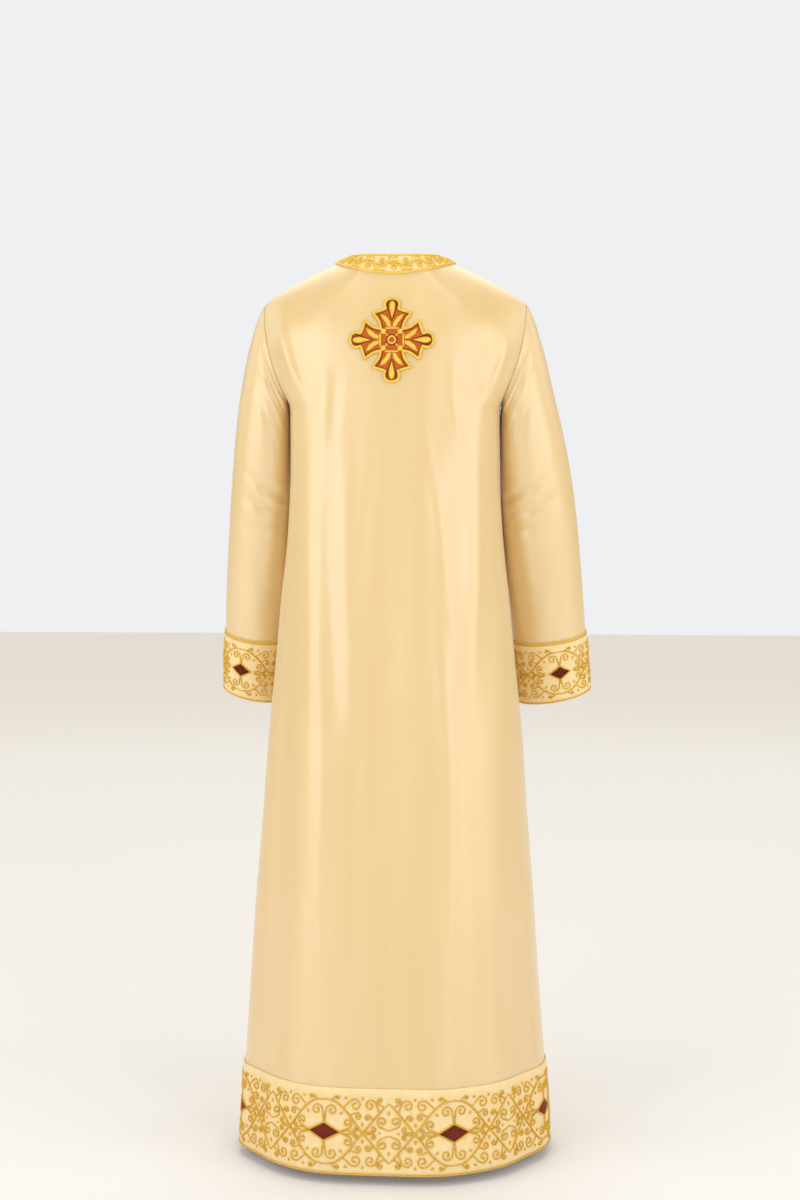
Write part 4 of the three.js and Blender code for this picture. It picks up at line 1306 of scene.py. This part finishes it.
UNDER_CROSS, TOP_OF_CROSS = BackMap(0.0), BackMap(CROSS_THICK)
print("centre of the cross:", TOP_OF_CROSS.place([0.0], [0.0])[0][0].round(1))

# %% Outline of the cross
ARM_SIDE = [(17.5, 17.5), (21, 30), (31, 44)]
ARM_END = [(31, 44), (18, 47.5), (10, 50.5)]
ARM_LEAF = [(10, 50.5), (12.2, 57), (9.5, 64.5), (0, 68)]
OUTLINE_STEP, FILL_STEP = 3, 6.5


def turned(points, quarter):
    angle = math.radians(90 * quarter)
    points = np.asarray(points, float)
    return points @ np.array([[math.cos(angle), math.sin(angle)], [-math.sin(angle), math.cos(angle)]])


def cross_outline():
    """One arm from its right side over the tip to its left side, turned four times."""
    side, end, tip = (smooth_line(line, OUTLINE_STEP) for line in (ARM_SIDE, ARM_END, ARM_LEAF))
    right = np.concatenate([side[:-1], end[:-1], tip])
    arm = np.concatenate([right, (right * (-1, 1))[-2::-1]])[:-1]
    return np.concatenate([turned(arm, q) for q in range(4)])


outline = cross_outline()
print("outline:", len(outline), "points,", round(np.ptp(outline[:, 1])), "mm tall")


# %% Plate of the cross
def cross_plate():
    """A flat fill of the outline, laid on the panel and given its thickness."""
    border = [Vector(p) for p in outline]
    steps = np.arange(-64, 65, FILL_STEP)
    fill = [Vector((x, y)) for x in steps for y in steps]
    edges = [(i, (i + 1) % len(border)) for i in range(len(border))]
    flat, _, tris, *_ = delaunay_2d_cdt(border + fill, edges, [], 1, 1e-4)
    used = sorted({i for tri in tris for i in tri})
    index = {old: new for new, old in enumerate(used)}
    faces = [tuple(index[i] for i in tri) for tri in tris]
    points = np.array([tuple(flat[i]) for i in used])
    n = len(points)
    upper, normal = UNDER_CROSS.place(points[:, 0], points[:, 1])
    upper = upper + normal * CROSS_THICK
    lower = upper - normal * CROSS_THICK
    rim = {}
    for face in faces:
        for a, b in zip(face, face[1:] + face[:1]):
            if rim.pop((b, a), None) is None:
                rim[(a, b)] = True
    both = faces + [tuple(i + n for i in reversed(face)) for face in faces]
    both += [(b, a, a + n, b + n) for a, b in rim]
    return new_object("cross_cloth", np.concatenate([upper, lower]), both)


cross_cloth = finish_piece(cross_plate(), RUST_FILL, "cross")
outward(cross_cloth)
cross_cloth.data.shade_flat()
print("cross plate", len(cross_cloth.data.polygons), "faces")

# %% Gold on the cross
PETAL = smooth_line([
    (0, 32), (3.0, 43), (4.9, 53), (3.6, 60), (0, 63), (-3.6, 60), (-4.9, 53), (-3.0, 43)], 3)
WING = [(0.4, 20), (2.6, 29), (9, 37.5), (19, 42), (16, 34.5), (10.5, 27.5), (6.2, 20)]
CORNER = [(9.5, 9.5), (16.5, 9), (18, 13), (17.2, 17.2), (13, 18), (9, 16.5)]
BAR = np.stack([np.linspace(-11, 11, 9), np.full(9, 18.5)], 1)
TIE = np.stack([np.linspace(6, 11, 4), np.linspace(6, 11, 4)], 1)
RING_RADIUS, RING_POINTS = 5.6, 26

cross_gold = Stitches(TOP_OF_CROSS)
halfway = zip(outline, np.roll(outline, -1, 0))
border = np.concatenate([np.linspace(a, b, 2, endpoint=False) for a, b in halfway])
cross_gold.cord(border * 0.98, 5.0, 2.2, closed=True)
for quarter in range(4):
    cross_gold.pad(turned(PETAL, quarter), 1.6)
    for flip in (1, -1):
        cross_gold.pad(turned(np.array(WING) * (flip, 1), quarter), 1.5)
    cross_gold.cord(turned(BAR, quarter), 3.4, 1.8)
    cross_gold.pad(turned(CORNER, quarter), 2.0)
    cross_gold.cord(turned(TIE, quarter), 2.8, 1.6)
cross_gold.cord(circle_line(RING_RADIUS, RING_POINTS), 3.4, 1.9, closed=True)
cross_work = cross_gold.make("cross_gold_work", BRIGHT_GOLD)

# %% Painted shadow: dark cords inside the cross's gold outline, round its petals and round its middle ring
SHADOW_INSET, SHADOW_WIDTH, SHADOW_TALL = 3.6, 1.5, 0.7
PETAL_SHADOW = (1.32, 1.08)  # how much wider and longer than the petal its painted shadow runs
cross_shadow_cords = Stitches(TOP_OF_CROSS)
along_edge = np.roll(outline, -1, 0) - np.roll(outline, 1, 0)
inward = np.stack([along_edge[:, 1], -along_edge[:, 0]], 1)
inward *= np.sign((-outline * inward).sum(1).mean()) / np.linalg.norm(inward, axis=1, keepdims=True)
around = PETAL.mean(0) + (PETAL - PETAL.mean(0)) * PETAL_SHADOW
shadow_lines = [outline + inward * SHADOW_INSET, *(turned(around, quarter) for quarter in range(4))]
for line in [*shadow_lines, circle_line(8.2, RING_POINTS)]:
    cross_shadow_cords.cord(line, SHADOW_WIDTH, SHADOW_TALL, closed=True)
cross_shadow_mesh = cross_shadow_cords.make("cross_painted_shadow", SHADOW_BROWN)

# %% [markdown]
# ## Cloth sizes
#
# A pattern says how large each piece is cut. A mesh alone can't tell, since its folds may use
# too much cloth or too little. The panels are cut wider than they hang.

# %% [markdown]
# ## Floor and light
#
# A robe is shown in a pale room with soft light. One big dome of light would do for dull cloth,
# but satin shows its form by the edges of its highlights. So tall panels and narrow strips
# stand on both sides of the back, and weak panels fill the sides, the top and the front. The
# strips end above the floor, for one that met it would leave a hard line of light there.

# %% Floor
FLOOR_DROP, FLOOR_REACH = 15, 9000
GLOW_FROM, GLOW_TO = 1.0, 4.5  # metres from the shoulders, over which the floor's own light grows


def make_floor():
    reach, z = FLOOR_REACH, HEM_Z - FLOOR_DROP
    corners = [(-reach, -reach, z), (reach, -reach, z), (reach, reach, z), (-reach, reach, z)]
    floor = new_object("floor", corners, [(0, 1, 2, 3)])
    material, nodes, links, shader = new_material("pale_floor")
    noise = nodes.new("ShaderNodeTexNoise")
    noise.inputs["Scale"].default_value = 1.3
    colour = between(nodes, links, noise.outputs["Fac"], (0.80, 0.82, 0.86), (0.85, 0.87, 0.91))
    links.new(colour, shader.inputs["Base Color"])
    set_sockets(shader, {"Roughness": 0.45, "Emission Color": (0.97, 0.98, 1.0, 1)})
    distance = nodes.new("ShaderNodeVectorMath")
    distance.operation = "LENGTH"
    links.new(nodes.new("ShaderNodeTexCoord").outputs["Object"], distance.inputs[0])
    glow = remap(nodes, links, distance.outputs["Value"], 0.05, 0.36, GLOW_FROM, GLOW_TO)
    links.new(glow, shader.inputs["Emission Strength"])
    floor.data.materials.append(material)


make_floor()
print("floor at", round((HEM_Z - FLOOR_DROP) * MM, 3), "m")

# %% Lights
MIDDLE = (0, 0, -0.65)
WARM, NEUTRAL, COOL = (1.0, 0.96, 0.91), (1.0, 0.98, 0.95), (0.68, 0.80, 1.0)
LIGHTS = [  # name, place, width, height, power, colour
    ("key_left", (2.8, 1.7, 0.3), 1.6, 3.0, 28, WARM),
    ("strip_left", (1.7, 2.9, 0.15), 0.5, 2.7, 21, COOL),
    ("key_right", (-2.8, 1.6, 0.3), 1.5, 3.0, 27, WARM),
    ("strip_right", (-1.6, 2.9, 0.15), 0.5, 2.7, 19, COOL),
    ("side_left", (2.9, -0.9, 0.9), 1.4, 2.2, 9, (0.90, 0.95, 1.0)),
    ("side_right", (-2.9, -0.9, 0.9), 1.4, 2.2, 9, (0.90, 0.95, 1.0)),
    ("fill_back", (0.2, 4.6, 1.9), 2.4, 1.2, 5, NEUTRAL),
    ("top", (0.0, 0.6, 2.6), 2.0, 2.0, 32, (0.96, 0.97, 1.0)),
    ("front_fill", (0.0, -2.6, 2.3), 4.4, 2.2, 46, NEUTRAL),
]
for name, place, width, height, power, colour in LIGHTS:
    data = bpy.data.lights.new(name, "AREA")
    data.shape, data.size, data.size_y = "RECTANGLE", width, height
    data.energy, data.color = power, colour
    light = bpy.data.objects.new(name, data)
    light.location = place
    light.rotation_euler = (Vector(MIDDLE) - Vector(place)).to_track_quat("-Z", "Y").to_euler()
    bpy.context.scene.collection.objects.link(light)
print("lights:", len(LIGHTS))

# %% The room's own light
# The cloth sees a warm, dim room. The camera sees a pale, even wall.
ROOM_DIM, ROOM_SEEN = 0.48, 0.92
world = bpy.data.worlds.new("room")
bpy.context.scene.world = world
world.use_nodes = True
nodes, links = world.node_tree.nodes, world.node_tree.links
seen = nodes.new("ShaderNodeLightPath").outputs["Is Camera Ray"]
background = nodes["Background"]
wall = between(nodes, links, seen, (1.0, 0.86, 0.63), (0.94, 0.945, 0.96))
links.new(wall, background.inputs["Color"])
links.new(remap(nodes, links, seen, ROOM_DIM, ROOM_SEEN), background.inputs["Strength"])
print("room:", world.name)
